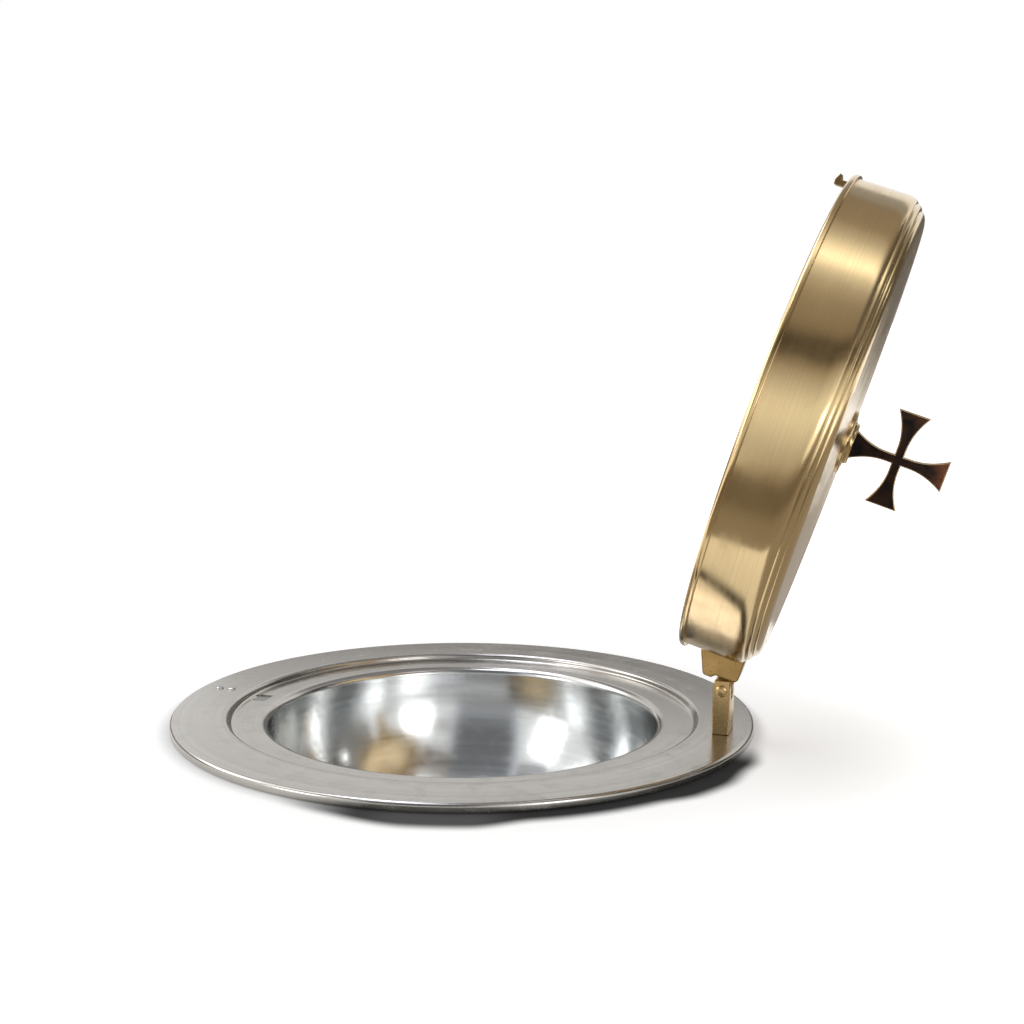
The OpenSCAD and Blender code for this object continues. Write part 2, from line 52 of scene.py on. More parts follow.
SEAT_R, SEAT_H = 34.0, 2.6
SEAT_ANGLE = math.acos(SEAT_R / BOWL_R)
SEAT_Z = BOWL_Z - BOWL_H * math.sin(SEAT_ANGLE) - SEAT_H
SHANK_R, SHANK_H, BORE_R = 23.9, 48.0, 20.4
SHANK_Z = SEAT_Z - SHANK_H
GRID_R, GRID_T, GRID_DEPTH = 22.3, 1.6, 3.0
GRID_Z = SEAT_Z - GRID_DEPTH
SEAL_T, FIBRE_T, LOCK_NUT_H = 3.0, 1.0, 7.0
LOCK_NUT_Z = SEAT_Z - SHEET - SEAL_T - FIBRE_T - LOCK_NUT_H
JOINT_T, TAIL_R, TAIL_H, TAIL_LIP = 2.5, 19.05, 76.0, 1.4
TAIL_Z = SHANK_Z - JOINT_T
TAIL_TOP = TAIL_Z - TAIL_LIP

RING_R, RING_T, DRUM_R, DRUM_H, SHELL_T = 119.2, 1.6, 117.6, 22.0, 1.2
DRUM_IN = DRUM_R - SHELL_T
RING_IN = DRUM_IN - RING_T
HINGE_X, PIVOT_H, OPEN_ANGLE = 136.0, 22.3, 108.0
PIVOT_Z = FLANGE_H + PIVOT_H
POST_HALF, PIN_R = 9.0, 2.0
SCREW_R, HINGE_SCREWS = 1.95, (-5, 5)
WASHER_T, LEAF_T = 0.8, 0.8
LATCH_HALF, CATCH_X = 5.0, (132.5, 139.5)
LATCH_X = math.sqrt(RING_IN ** 2 - LATCH_HALF ** 2)
# Half the length of a cutter that goes right through.
THROUGH = 20


def at(x, y, z):
    return Matrix.Translation((x * MM, y * MM, z * MM))


def rotation(degrees, axis):
    return Matrix.Rotation(math.radians(degrees), 4, axis)


OPENED = at(HINGE_X, 0, PIVOT_Z) @ rotation(OPEN_ANGLE, "Y") @ at(-HINGE_X, 0, -PIVOT_H)
HALF_TURN = rotation(180, "Z")
UPRIGHT = rotation(90, "X")
UPSIDE_DOWN = rotation(180, "X")
ALONG_X, AGAINST_X = rotation(90, "Y"), rotation(-90, "Y")
# A plate's x and y become Y and Z, and its height becomes X.
FACING_X = Matrix(((0, 0, 1, 0), (1, 0, 0, 0), (0, 1, 0, 0), (0, 0, 0, 1)))


# Outlines


def arc(cx, cy, rx, ry, a0, a1, n):
    """Points of an elliptic arc from a0 to a1 degrees, in n steps."""
    steps = [math.radians(a0 + (a1 - a0) * i / n) for i in range(n + 1)]
    return [(cx + rx * math.cos(a), cy + ry * math.sin(a)) for a in steps]


def raised(outline, z):
    """An outline of (radius, height) whose heights count from z."""
    return [(r, z + h) for r, h in outline]


def rectangle(x0, x1, y0, y1, r):
    """Corners for rounded()."""
    return [(x0, y0, r), (x1, y0, r), (x1, y1, r), (x0, y1, r)]


def distinct(points, least=0.01):
    """Leaves out each point that is no further than least from the one before."""
    out = []
    for p in points:
        if not out or math.dist(p, out[-1]) > least:
            out.append(p)
    return out


def sheet(path, t):
    """Outline of a sheet of thickness t on the left of a path."""
    path = distinct(path)
    n = len(path)
    sides = []
    for a, b in zip(path, path[1:]):
        d = math.dist(a, b)
        sides.append(((a[1] - b[1]) / d, (b[0] - a[0]) / d))
    inner = []
    for i, p in enumerate(path):
        u, v = sides[max(i - 1, 0)], sides[min(i, n - 2)]
        k = t / (1 + u[0] * v[0] + u[1] * v[1])
        inner.append((p[0] + k * (u[0] + v[0]), p[1] + k * (u[1] + v[1])))
    return path + inner[::-1]


def fillet(before, corner, after, n):
    """Points of an arc that rounds a corner (x, y, radius) between its neighbours."""
    # The arc takes at most this share of either side.
    most = 0.49
    p = Vector(corner[:2])
    a, b = Vector(before[:2]) - p, Vector(after[:2]) - p
    la, lb = a.length, b.length
    a, b = a / la, b / lb
    half = a.angle(b) / 2
    reach = min(corner[2] / math.tan(half), la * most, lb * most)
    r = reach * math.tan(half)
    c = p + (a + b).normalized() * (r / math.sin(half))
    s, e = p + a * reach - c, p + b * reach - c
    turn = math.atan2(s.x * e.y - s.y * e.x, s.dot(e))
    out = []
    for k in range(n + 1):
        t = turn * k / n
        out.append((c.x + s.x * math.cos(t) - s.y * math.sin(t), c.y + s.x * math.sin(t) + s.y * math.cos(t)))
    return out


def rounded(corners, n, closed=True):
    """Outline through (x, y, radius) corners, each rounded by its radius."""
    out = []
    m = len(corners)
    for i, corner in enumerate(corners):
        if corner[2] <= 0 or (not closed and i in (0, m - 1)):
            out.append(corner[:2])
        else:
            out += fillet(corners[i - 1], corner, corners[(i + 1) % m], n)
    return distinct(out, 0.005)


# Mesh makers


def turned_ring(radius, z, n):
    """A ring of n points about Z, or one point on the axis. The radius and the height are numbers, or
    functions of the angle in degrees."""
    if not callable(radius) and radius < 1e-6:
        return [(0, 0, z)]
    out = []
    for i in range(n):
        a = 360.0 * i / n
        r = radius(a) if callable(radius) else radius
        h = z(a) if callable(z) else z
        out.append((r * math.cos(math.radians(a)), r * math.sin(math.radians(a)), h))
    return out


def bridge(bm, p, q):
    """Faces between two rings of vertices, each of which can be a single vertex."""
    n = max(len(p), len(q))
    if n == 1:
        return
    for i in range(n):
        j = (i + 1) % n
        if len(p) == 1:
            bm.faces.new((p[0], q[i], q[j]))
        elif len(q) == 1:
            bm.faces.new((p[i], q[0], p[j]))
        else:
            bm.faces.new((p[i], q[i], q[j], p[j]))


def lathe_bm(outline, segments, closed=True):
    """Turns an outline of (radius, z) about Z."""
    bm = bmesh.new()
    rings = []
    for r, z in outline:
        rings.append([bm.verts.new(tuple(v * MM for v in p)) for p in turned_ring(r, z, segments)])
    for p, q in zip(rings, rings[1:] + (rings[:1] if closed else [])):
        bridge(bm, p, q)
    return bm


def plate_bm(outline, low, high):
    """A closed outline of (x, y), from z low to high."""
    bm = bmesh.new()
    face = bm.faces.new([bm.verts.new((x * MM, y * MM, low * MM)) for x, y in outline])
    grown = bmesh.ops.extrude_face_region(bm, geom=[face])
    up = [g for g in grown["geom"] if isinstance(g, bmesh.types.BMVert)]
    bmesh.ops.translate(bm, verts=up, vec=(0, 0, (high - low) * MM))
    bmesh.ops.recalc_face_normals(bm, faces=bm.faces)
    return bm


def box_bm(x0, x1, y0, y1, z0, z1):
    return plate_bm([(x0, y0), (x1, y0), (x1, y1), (x0, y1)], z0, z1)


def rod_bm(radius, z0, z1, segments=48):
    return plate_bm(arc(0, 0, radius, radius, 0, 360 - 360 / segments, segments - 1), z0, z1)


def thread_bm(r_out, r_in, z0, z1, pitch, depth, segments):
    """A threaded rod or tube: the radius rises and falls along one helix."""
    rings_per_turn = 6
    steps = max(4, int(round((z1 - z0) / pitch * rings_per_turn)))
    outline = [(r_out - depth, z0)]
    for k in range(1, steps):
        z = z0 + (z1 - z0) * k / steps
        fade = min(1.0, (z - z0) / pitch, (z1 - z) / pitch)

        def radius(a, z=z, fade=fade):
            wave = 0.5 - 0.5 * math.cos(2 * math.pi * (z / pitch - a / 360.0))
            return r_out - depth * (1 - fade * (1 - wave))

        outline.append((radius, z))
    return lathe_bm(outline + [(r_out - depth, z1), (r_in, z1), (r_in, z0)], segments)


def hexagon(across):
    """The radius of a hexagon of a width across its flats, as a function of the angle in degrees."""
    return lambda a: across / 2 / math.cos(math.radians(a % 60 - 30))


def chamfer(across, face_r, z, side):
    """The height of a hexagon's edge, which from z at the radius face_r rises (1) or falls (-1) outwards."""
    corner = hexagon(across)
    return lambda a: z + side * (corner(a) - face_r) * 0.5


def nut_bm(across, bore, z0, z1, segments=96):
    """A hexagon nut with its corners chamfered at both ends."""
    face_r = across / 2 * 0.965
    lead = min(0.6, (z1 - z0) * 0.12)
    return lathe_bm([
        (bore + lead, z0), (face_r, z0), (hexagon(across), chamfer(across, face_r, z0, 1)),
        (hexagon(across), chamfer(across, face_r, z1, -1)), (face_r, z1), (bore + lead, z1),
        (bore, z1 - lead), (bore, z0 + lead),
    ], segments)


def moved(bm, matrix):
    bmesh.ops.transform(bm, matrix=matrix, verts=bm.verts)
    return bm


def merged(parts):
    """One mesh of several that stand apart."""
    whole = bmesh.new()
    for part in parts:
        mesh = bpy.data.meshes.new("part")
        part.to_mesh(mesh)
        part.free()
        whole.from_mesh(mesh)
        bpy.data.meshes.remove(mesh)
    return whole


def carved(bm, tools, operation="DIFFERENCE"):
    """Cuts solids out of a solid, or joins them to it."""
    def loose(part):
        bmesh.ops.recalc_face_normals(part, faces=part.faces)
        mesh = bpy.data.meshes.new("loose")
        part.to_mesh(mesh)
        part.free()
        obj = bpy.data.objects.new("loose", mesh)
        bpy.context.scene.collection.objects.link(obj)
        return obj

    obj = loose(bm)
    helpers = [loose(t) for t in tools]
    for helper in helpers:
        boolean = obj.modifiers.new("cut", "BOOLEAN")
        boolean.operation = operation
        boolean.solver = "EXACT"
        boolean.object = helper
    bpy.context.view_layer.update()
    done = bpy.data.meshes.new_from_object(obj.evaluated_get(bpy.context.evaluated_depsgraph_get()))
    out = bmesh.new()
    out.from_mesh(done)
    bpy.data.meshes.remove(done)
    for spare in [obj] + helpers:
        mesh = spare.data
        bpy.data.objects.remove(spare)
        bpy.data.meshes.remove(mesh)
    return out


def bevelled(bm, edges, width, segments):
    bmesh.ops.bevel(
        bm, geom=edges, offset=width * MM, offset_type="OFFSET", segments=segments, profile=0.5,
        affect="EDGES", clamp_overlap=True
    )
    return bm


def softened(bm, width, segments=2):
    """Rounds the sharp edges of a milled solid."""
    bmesh.ops.remove_doubles(bm, verts=bm.verts, dist=2e-6)
    bmesh.ops.dissolve_limit(bm, angle_limit=math.radians(0.5), verts=bm.verts, edges=bm.edges)
    bmesh.ops.recalc_face_normals(bm, faces=bm.faces)
    least = math.radians(30)
    sharp = [e for e in bm.edges if len(e.link_faces) == 2 and e.calc_face_angle(0.0) > least]
    return bevelled(bm, sharp, width, segments)


def finished(name, bm, materials, place, angle):
    """An object of a mesh, whose edges are smooth below an angle in degrees."""
    bmesh.ops.remove_doubles(bm, verts=bm.verts, dist=1e-7)
    bmesh.ops.recalc_face_normals(bm, faces=bm.faces)
    limit = math.radians(angle)
    for e in bm.edges:
        e.smooth = len(e.link_faces) == 2 and e.calc_face_angle(0.0) < limit
    for f in bm.faces:
        f.smooth = True
    mesh = bpy.data.meshes.new(name)
    bm.to_mesh(mesh)
    bm.free()
    obj = bpy.data.objects.new(name, mesh)
    bpy.context.scene.collection.objects.link(obj)
    for material in materials:
        mesh.materials.append(material)
    if place is not None:
        obj.matrix_world = place
    weigh = obj.modifiers.new("weigh", "WEIGHTED_NORMAL")
    weigh.mode = "FACE_AREA"
    weigh.keep_sharp = True
    weigh.weight = 50
    return obj


def piece(name, bm, material, body, node, place=None, angle=35.0):
    """A piece of the part. One whose finish turns about its own axis keeps its place in the object, and any
    other has it in the mesh."""
    materials = material if isinstance(material, list) else [material]
    if place is not None and materials[0] not in TURNED:
        bm, place = moved(bm, place), None
    obj = finished(name, bm, materials, place, angle)
    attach(obj, body)
    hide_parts(node)


# Materials


class Nodes:
    """A small helper that adds shader nodes and links them."""

    def __init__(self, name):
        self.material = bpy.data.materials.new(name)
        self.material.use_nodes = True
        self.tree = self.material.node_tree
        self.shader = self.tree.nodes["Principled BSDF"]
        self.coords = self.tree.nodes.new("ShaderNodeTexCoord")

    def new(self, kind, **values):
        node = self.tree.nodes.new(kind)
        for key, value in values.items():
            setattr(node, key, value)
        return node

    def put(self, socket, value):
        if isinstance(value, (int, float)):
            socket.default_value = value
        elif isinstance(value, (list, tuple)):
            socket.default_value = (*value, 1.0) if len(socket.default_value) == 4 else value
        else:
            self.tree.links.new(value, socket)

    def set(self, **values):
        """Sets or links the shader's own sockets."""
        for key, value in values.items():
            self.put(self.shader.inputs[key.replace("_", " ")], value)

    def math(self, operation, *values):
        node = self.new("ShaderNodeMath", operation=operation)
        for socket, value in zip(node.inputs, values):
            self.put(socket, value)
        return node.outputs[0]

    def vector(self, *values):
        node = self.new("ShaderNodeCombineXYZ")
        for socket, value in zip(node.inputs, values):
            self.put(socket, value)
        return node.outputs[0]

    def noise(self, vector, scale, detail=3.0, rough=0.55, distortion=0.0):
        node = self.new("ShaderNodeTexNoise")
        for name, value in (
            ("Vector", vector), ("Scale", scale), ("Detail", detail), ("Roughness", rough),
            ("Distortion", distortion),
        ):
            self.put(node.inputs[name], value)
        return node.outputs["Fac"]

    def stretched(self, scale):
        node = self.new("ShaderNodeMapping")
        node.inputs["Scale"].default_value = scale
        self.put(node.inputs["Vector"], self.coords.outputs["Object"])
        return node.outputs["Vector"]

    def span(self, value, low, high, to_low=0.0, to_high=1.0):
        """A smooth step from to_low at low to to_high at high."""
        node = self.new("ShaderNodeMapRange", interpolation_type="SMOOTHSTEP")
        for socket, v in zip(node.inputs, (value, low, high, to_low, to_high)):
            self.put(socket, v)
        return node.outputs[0]

    def between(self, value, a, b, c, d):
        """Rises from 0 to 1 between a and b, and falls back between c and d."""
        return self.math("MULTIPLY", self.span(value, a, b), self.span(value, c, d, 1.0, 0.0))

    def blend(self, factor, a, b, kind="MIX"):
        node = self.new("ShaderNodeMix", data_type="RGBA", blend_type=kind)
        for socket, value in ((node.inputs[0], factor), (node.inputs[6], a), (node.inputs[7], b)):
            self.put(socket, value)
        return node.outputs[2]

    def place(self):
        """The object's own x, y and z."""
        split = self.new("ShaderNodeSeparateXYZ")
        self.put(split.inputs[0], self.coords.outputs["Object"])
        return split.outputs

    def polar(self):
        """Angle, radius and height about the object's own Z axis."""
        x, y, z = self.place()
        square = self.math("ADD", self.math("MULTIPLY", x, x), self.math("MULTIPLY", y, y))
        radius = self.math("SQRT", square)
        return self.math("ARCTAN2", y, x), radius, z

    def bump(self, height, strength, distance, normal=None):
        node = self.new("ShaderNodeBump")
        for name, value in (("Strength", strength), ("Distance", distance), ("Height", height)):
            self.put(node.inputs[name], value)
        if normal is not None:
            self.put(node.inputs["Normal"], normal)
        return node.outputs["Normal"]


def turned_metal(
    name, colour, dark, stain, rough, grain=0.3, wear=0.3, scratches=0.3, aniso=0.0, inside=None, smooth=0.0
):
    """Metal finished on a lathe: fine rings about the object's Z axis, cloudy polish marks, smudges and
    scratches. Inside is a colour and the radius within which it multiplies the metal's own. Smooth is
    what the roughness loses there."""
    circle, uphill, bump = 0.25, 0.93, 0.1
    n = Nodes(name)
    angle, radius, z = n.polar()
    obj = n.coords.outputs["Object"]
    # The angle is taken as a point on a small circle, so that the grain has no seam.
    spin = [n.math("MULTIPLY", n.math(part, angle), circle) for part in ("COSINE", "SINE")]
    across = n.math("ADD", radius, n.math("MULTIPLY", z, uphill))
    rings = n.noise(n.vector(*spin, n.math("MULTIPLY", across, 2600.0)), 1.6, 3.0, 0.7)
    wide = n.noise(n.vector(*spin, n.math("MULTIPLY", across, 260.0)), 1.2, 2.0, 0.5)
    cloud = n.noise(obj, 11.0, 3.0, 0.55, 0.5)
    smudge = n.noise(obj, 46.0, 4.0, 0.6, 1.2)
    lines = n.noise(n.stretched((45.0, 4200.0, 45.0)), 1.0, 1.0, 0.4, 0.4)
    across_lines = n.noise(n.stretched((3900.0, 38.0, 52.0)), 1.0, 1.0, 0.4, 0.4)
    scratch = n.math("MAXIMUM", n.span(lines, 0.70, 0.76), n.span(across_lines, 0.70, 0.76))
    shade = n.blend(n.math("MULTIPLY", n.span(rings, 0.35, 0.65), grain), colour, dark)
    shade = n.blend(n.math("MULTIPLY", n.span(cloud, 0.42, 0.72), wear), shade, stain)
    shade = n.blend(n.math("MULTIPLY", n.span(smudge, 0.56, 0.74), wear * 0.6), shade, dark)
    base = rough - 0.03
    if inside is not None:
        bright, edge = inside
        inner = n.span(radius, edge, edge + 0.003, 1.0, 0.0)
        shade = n.blend(inner, shade, n.blend(1.0, shade, bright, "MULTIPLY"))
        base = n.math("MULTIPLY_ADD", inner, -smooth, base)
    n.set(Base_Color=shade, Metallic=1.0)
    lift = n.math("MULTIPLY_ADD", n.span(wide, 0.3, 0.7), 0.05, base)
    lift = n.math("MULTIPLY_ADD", n.span(smudge, 0.45, 0.75), 0.07, lift)
    lift = n.math("MULTIPLY_ADD", scratch, 0.12 * scratches, lift)
    n.set(Roughness=n.math("MULTIPLY_ADD", n.span(rings, 0.35, 0.65), 0.04, lift))
    if aniso:
        tangent = n.new("ShaderNodeTangent", direction_type="RADIAL", axis="Z")
        n.set(Anisotropic=aniso, Anisotropic_Rotation=0.25, Tangent=tangent.outputs[0])
    normal = n.bump(rings, bump, 0.00002)
    normal = n.bump(cloud, bump * 0.8, 0.0006, normal)
    n.set(Normal=n.bump(scratch, 0.25 * scratches, 0.00003, normal))
    return n.material


def plain_metal(name, colour, dark, rough, wear=0.4):
    """Cast or milled metal: short tool marks, cloudy polish, and dirt held in pits."""
    bump = 0.1
    n = Nodes(name)
    obj = n.coords.outputs["Object"]
    marks = n.noise(n.stretched((300.0, 300.0, 2600.0)), 1.0, 3.0, 0.6)
    cloud = n.noise(obj, 60.0, 4.0, 0.6, 0.3)
    pits = n.span(n.noise(obj, 900.0, 2.0, 0.5), 0.62, 0.72)
    shade = n.blend(n.math("MULTIPLY", n.span(cloud, 0.38, 0.72), wear), colour, dark)
    shade = n.blend(n.math("MULTIPLY", pits, wear * 0.5), shade, [v * 0.4 for v in dark])
    n.set(Base_Color=shade, Metallic=1.0)
    lift = n.math("MULTIPLY_ADD", n.span(cloud, 0.3, 0.8), 0.12, rough)
    n.set(Roughness=n.math("MULTIPLY_ADD", pits, 0.2, lift))
    normal = n.bump(marks, bump, 0.00004)
    n.set(Normal=n.bump(n.noise(obj, 140.0, 3.0, 0.5), bump, 0.0003, normal))
    return n.material


def soft_material(name, colour, dark, rough):
    """Rubber or fibre: a matte ground with fine mottling and dust."""
    n = Nodes(name)
    obj = n.coords.outputs["Object"]
    cloud = n.noise(obj, 90.0, 5.0, 0.65)
    n.set(Base_Color=n.blend(n.span(cloud, 0.3, 0.7), colour, dark))
    n.set(Roughness=n.math("MULTIPLY_ADD", cloud, 0.15, rough))
    n.set(Normal=n.bump(n.noise(obj, 1980.0, 2.0, 0.5), 0.2, 0.0001))
    return n.material


def cross_material():
    """Polished brass gone nearly black, with red-brown clouds."""
    n = Nodes("cross_face")
    obj = n.coords.outputs["Object"]
    cloud = n.noise(obj, 70.0, 3.0, 0.5, 0.8)
    fine = n.noise(obj, 1100.0, 3.0, 0.6)
    x, _, z = n.place()
    # The red-brown clouds are strongest on the outer arm and on the upper arm's outer half.
    upper = n.math("MULTIPLY", n.span(z, 0.160, 0.172), n.span(x, 0.214, 0.226))
    outer = n.math("MAXIMUM", n.span(x, 0.228, 0.242), upper)
    warm = n.math("MULTIPLY", n.span(cloud, 0.36, 0.60), n.math("MULTIPLY_ADD", outer, 0.85, 0.15))
    shade = n.blend(warm, (0.014, 0.013, 0.012), (0.19, 0.07, 0.036))
    shade = n.blend(n.math("MULTIPLY", n.span(fine, 0.6, 0.8), 0.3), shade, (0.10, 0.07, 0.04))
    n.set(Base_Color=shade, Metallic=1.0)
    n.set(Roughness=n.math("MULTIPLY_ADD", fine, 0.12, 0.16))
    n.set(Normal=n.bump(fine, 0.05, 0.00003))
    return n.material


# Painted light: within 0.1 m of the axis the bowl's colour is lighter and bluer than the flange's, making up
# for the dimmer light between its own walls. Its lower roughness there is a finer polish.
STEEL = turned_metal(
    "satin_steel", (0.485, 0.462, 0.425), (0.405, 0.386, 0.355), (0.44, 0.418, 0.384), 0.19,
    grain=0.45, aniso=0.4, inside=((1.48, 1.58, 1.70), 0.1), smooth=0.04
)
POLISHED = turned_metal(
    "polished_steel", (0.57, 0.57, 0.575), (0.43, 0.43, 0.44), (0.46, 0.46, 0.46), 0.12,
    grain=0.35, scratches=0.5
)
BRASS = turned_metal(
    "lid_brass", (0.74, 0.565, 0.305), (0.60, 0.43, 0.21), (0.60, 0.46, 0.27), 0.15,
    grain=0.4, wear=0.35, aniso=0.4
)
INNER_BRASS = turned_metal(
    "inner_brass", (0.52, 0.39, 0.205), (0.42, 0.30, 0.145), (0.42, 0.31, 0.17), 0.31,
    grain=0.45, wear=0.45, aniso=0.3
)
RIM_BRASS = turned_metal(
    "ring_brass", (0.70, 0.52, 0.27), (0.50, 0.34, 0.15), (0.46, 0.32, 0.17), 0.13, grain=0.35, wear=0.45
)
HINGE_BRASS = plain_metal("hinge_brass", (0.66, 0.47, 0.22), (0.42, 0.27, 0.11), 0.17)
# Painted shade: the lug's brass is a darker copy of the post's, for the shade the lug stands in.
SHADED_LUG_BRASS = plain_metal("lug_brass_shaded", (0.46, 0.30, 0.115), (0.30, 0.175, 0.06), 0.19)
EDGE_BRASS = plain_metal("cross_edge", (0.62, 0.46, 0.26), (0.30, 0.20, 0.10), 0.22)
FIXING = plain_metal("fixings", (0.55, 0.54, 0.52), (0.38, 0.37, 0.36), 0.22)
SPRING = plain_metal("spring_steel", (0.50, 0.50, 0.50), (0.30, 0.31, 0.33), 0.26)
NUT_BRASS = plain_metal("nut_brass", (0.56, 0.40, 0.18), (0.36, 0.25, 0.12), 0.30, wear=0.6)
RUBBER = soft_material("rubber", (0.022, 0.022, 0.023), (0.045, 0.043, 0.04), 0.62)
FIBRE = soft_material("fibre", (0.42, 0.25, 0.13), (0.30, 0.18, 0.09), 0.75)
CROSS = cross_material()
TURNED = (STEEL, POLISHED, BRASS, RIM_BRASS)


# The basin


def make_basin():
    # Outer radii of the bends at the lip below, the rim, the recess's brink and its foot.
    lip, rim, brink, foot = 1.5, 1.8, 2.0, 1.4
    path = [(FLANGE_R - 4.0, 0.0)]
    path += arc(FLANGE_R - lip, lip, lip, lip, -90, 0, 8)
    path += arc(FLANGE_R - rim, FLANGE_H - rim, rim, rim, 0, 90, 10)
    path += [(r, FLANGE_H) for r in (147.0, 141.0, 134.0, 127.0)]
    path += arc(RECESS_R + brink, FLANGE_H - brink, brink, brink, 90, 180, 10)
    path += arc(RECESS_R - foot, LEDGE_Z + foot, foot, foot, 0, -90, 8)
    path += [(r, LEDGE_Z) for r in (117.0, 111.0)]
    path += arc(BOWL_R + BOWL_EDGE, BOWL_Z, BOWL_EDGE, BOWL_EDGE, 90, 180, 12)
    path += arc(0, BOWL_Z, BOWL_R, -BOWL_H, 0, math.degrees(SEAT_ANGLE), 56)
    path += [(SEAT_R - 0.5, SEAT_Z + 0.6), (SEAT_R - 1.2, SEAT_Z), (SHANK_R + 0.9, SEAT_Z)]
    slot = rectangle(-LATCH_X - 4.9, -LATCH_X + 4.0, -6, 6, 1.2)
    slot = plate_bm(rounded(slot, 4), -1, 4.2)
    bm = carved(lathe_bm(sheet(path, SHEET), 256), [slot])
    piece("basin_bowl", bm, STEEL, "root", "basin", angle=40.0)


# The drain


def make_drain():
    make_drain_body()
    make_grid()
    make_drain_rings()
    make_tail()


def make_drain_body():
    mouth, lip, plain_z = GRID_R + 0.2, 31.5, LOCK_NUT_Z + 2
    top = [(BORE_R, GRID_Z), (BORE_R, plain_z), (SHANK_R - 0.2, plain_z), (SHANK_R - 0.2, SEAT_Z)]
    top += [(lip, SEAT_Z), (lip, SEAT_Z + 0.5)]
    top += arc(lip - 1.7, SEAT_Z + 0.5, 1.6, 1.25, 20, 90, 6)
    top += [(mouth + 3.4, SEAT_Z + 1.8)]
    top += arc(mouth + 3.0, SEAT_Z + 0.2, 3.0, 1.55, 90, 180, 8)
    top += [(mouth, GRID_Z + 0.1)]
    parts = [lathe_bm(distinct(top), 128), thread_bm(SHANK_R, BORE_R, SHANK_Z, plain_z, 1.8, 0.75, 96)]
    for degrees in (0, 90):
        bar = box_bm(-BORE_R - 0.3, BORE_R + 0.3, -2, 2, GRID_Z - 6, GRID_Z - 2)
        parts.append(softened(moved(bar, rotation(degrees, "Z")), 0.4))
    boss = [(2, -6), (4.6, -6), (5, -5.6), (5, -0.3), (4.7, 0), (2, 0)]
    parts.append(lathe_bm(raised(boss, GRID_Z), 48))
    piece("drain_body", merged(parts), POLISHED, "root", "drain_flange")


def make_grid():
    t = GRID_Z + GRID_T
    screw_hole, hole, edge_r = 2.1, 2.0, 0.6
    disc = [(screw_hole, GRID_Z), (GRID_R - 0.3, GRID_Z), (GRID_R, GRID_Z + 0.3)]
    disc += arc(GRID_R - edge_r, t - edge_r, edge_r, edge_r, 0, 90, 4) + [(screw_hole, t)]
    spool = raised([(0, -1), (hole, -1)], GRID_Z)
    spool += raised([(hole, -0.35), (2.12, -0.15), (2.45, 0.02), (2.45, 1), (0, 1)], t)
    holes = []
    for ring in (1, 2, 3):
        r = 2.2 + 5.0 * ring
        for i in range(6 * ring):
            a = math.radians(i * 60 / ring)
            holes.append(moved(lathe_bm(spool, 24), at(r * math.cos(a), r * math.sin(a), 0)))
    grid = carved(lathe_bm(disc, 128), [merged(holes)])
    piece("drain_grid", grid, POLISHED, "root", "strainer")

    screw = raised([(0, -6.6), (SCREW_R, -6.6), (SCREW_R, 0), (4.0, 0), (4.0, 0.25)], t)
    screw += arc(0, t + 0.2, 3.98, 1.6, 8, 90, 8)
    screw = carved(lathe_bm(screw, 48), [box_bm(-5, 5, -0.5, 0.5, t + 0.9, t + 3)])
    piece("grid_screw", screw, FIXING, "root", "strainer_screw")


def make_drain_rings():
    """The seal, the friction ring and the nut below the bowl."""
    z, bore = SEAT_Z - SHEET, 24.2
    seal = [(bore, z - SEAL_T)] + arc(31.8, z - SEAL_T / 2, 0.6, SEAL_T / 2, -90, 90, 8) + [(bore, z)]
    piece("seal_ring", lathe_bm(seal, 128), RUBBER, "root", "drain_gasket")
    washer = raised([(bore, -4), (31.7, -4), (32.0, -3.8), (32.0, -3.0), (bore, -3.0)], z)
    piece("friction_ring", lathe_bm(washer, 128), FIBRE, "root", "drain_washer")
    nut = nut_bm(58, 24.0, LOCK_NUT_Z, LOCK_NUT_Z + LOCK_NUT_H)
    piece("drain_nut", nut, NUT_BRASS, "root", "lock_nut", angle=25.0)


def make_tail():
    """The tail pipe with its slip joint."""
    joint = raised([(19.3, 0), (23.6, 0), (23.7, 0.4), (23.7, JOINT_T), (19.3, JOINT_T)], TAIL_Z)
    piece("slip_ring", lathe_bm(joint, 96), RUBBER, "root", "tail_washer")

    low, across, face_r = TAIL_TOP - 2.5, 54, 26.0
    nut = raised([(19.6, 0), (23.5, 0), (25.6, 1.2), (25.9, 3.4)], low)
    nut.append((hexagon(across), chamfer(across, face_r, low + 3.6, 1)))
    nut.append((hexagon(across), chamfer(across, face_r, low + 17.6, -1)))
    nut += raised([(face_r, 18), (24.6, 18), (24.0, 17.4), (24.0, 2.6), (19.45, 2.5), (19.45, 0.2)], low)
    nut = lathe_bm(nut, 120)
    piece("slip_nut", nut, POLISHED, "root", "coupling_nut", angle=25.0)

    inner, foot = TAIL_R - 1.0, TAIL_TOP - TAIL_H
    pipe = [(inner, foot + 0.3), (inner + 0.3, foot), (TAIL_R - 0.3, foot), (TAIL_R, foot + 0.3)]
    pipe += [(TAIL_R, foot + 30), (TAIL_R, TAIL_TOP - 6.2), (TAIL_R + 0.2, TAIL_TOP - 6)]
    pipe += [(TAIL_R + 0.2, TAIL_TOP), (23.2, TAIL_TOP), (23.3, TAIL_Z), (inner, TAIL_Z)]
    piece("drain_pipe", lathe_bm(pipe, 128), POLISHED, "root", "tail_pipe")


# The hinge


def slotted_head(radius, height, slot=0.7):
    """A low round head that stands on z = 0, with a driver's slot."""
    brim = height * 0.2
    outline = [(0, -0.4), (radius, -0.4), (radius, brim)] + arc(0, brim, radius, height * 0.8, 8, 90, 9)
    groove = box_bm(-radius - 1, radius + 1, -slot / 2, slot / 2, height * 0.5, height + 2)
    return carved(lathe_bm(outline, 48), [groove])


def make_hinge():
    # The floor of the fork's gap, below the eye of the lug.
    floor = PIVOT_H - 5.45
    make_post(floor)
    make_pin()
    make_lug(floor)
    make_hinge_screws()


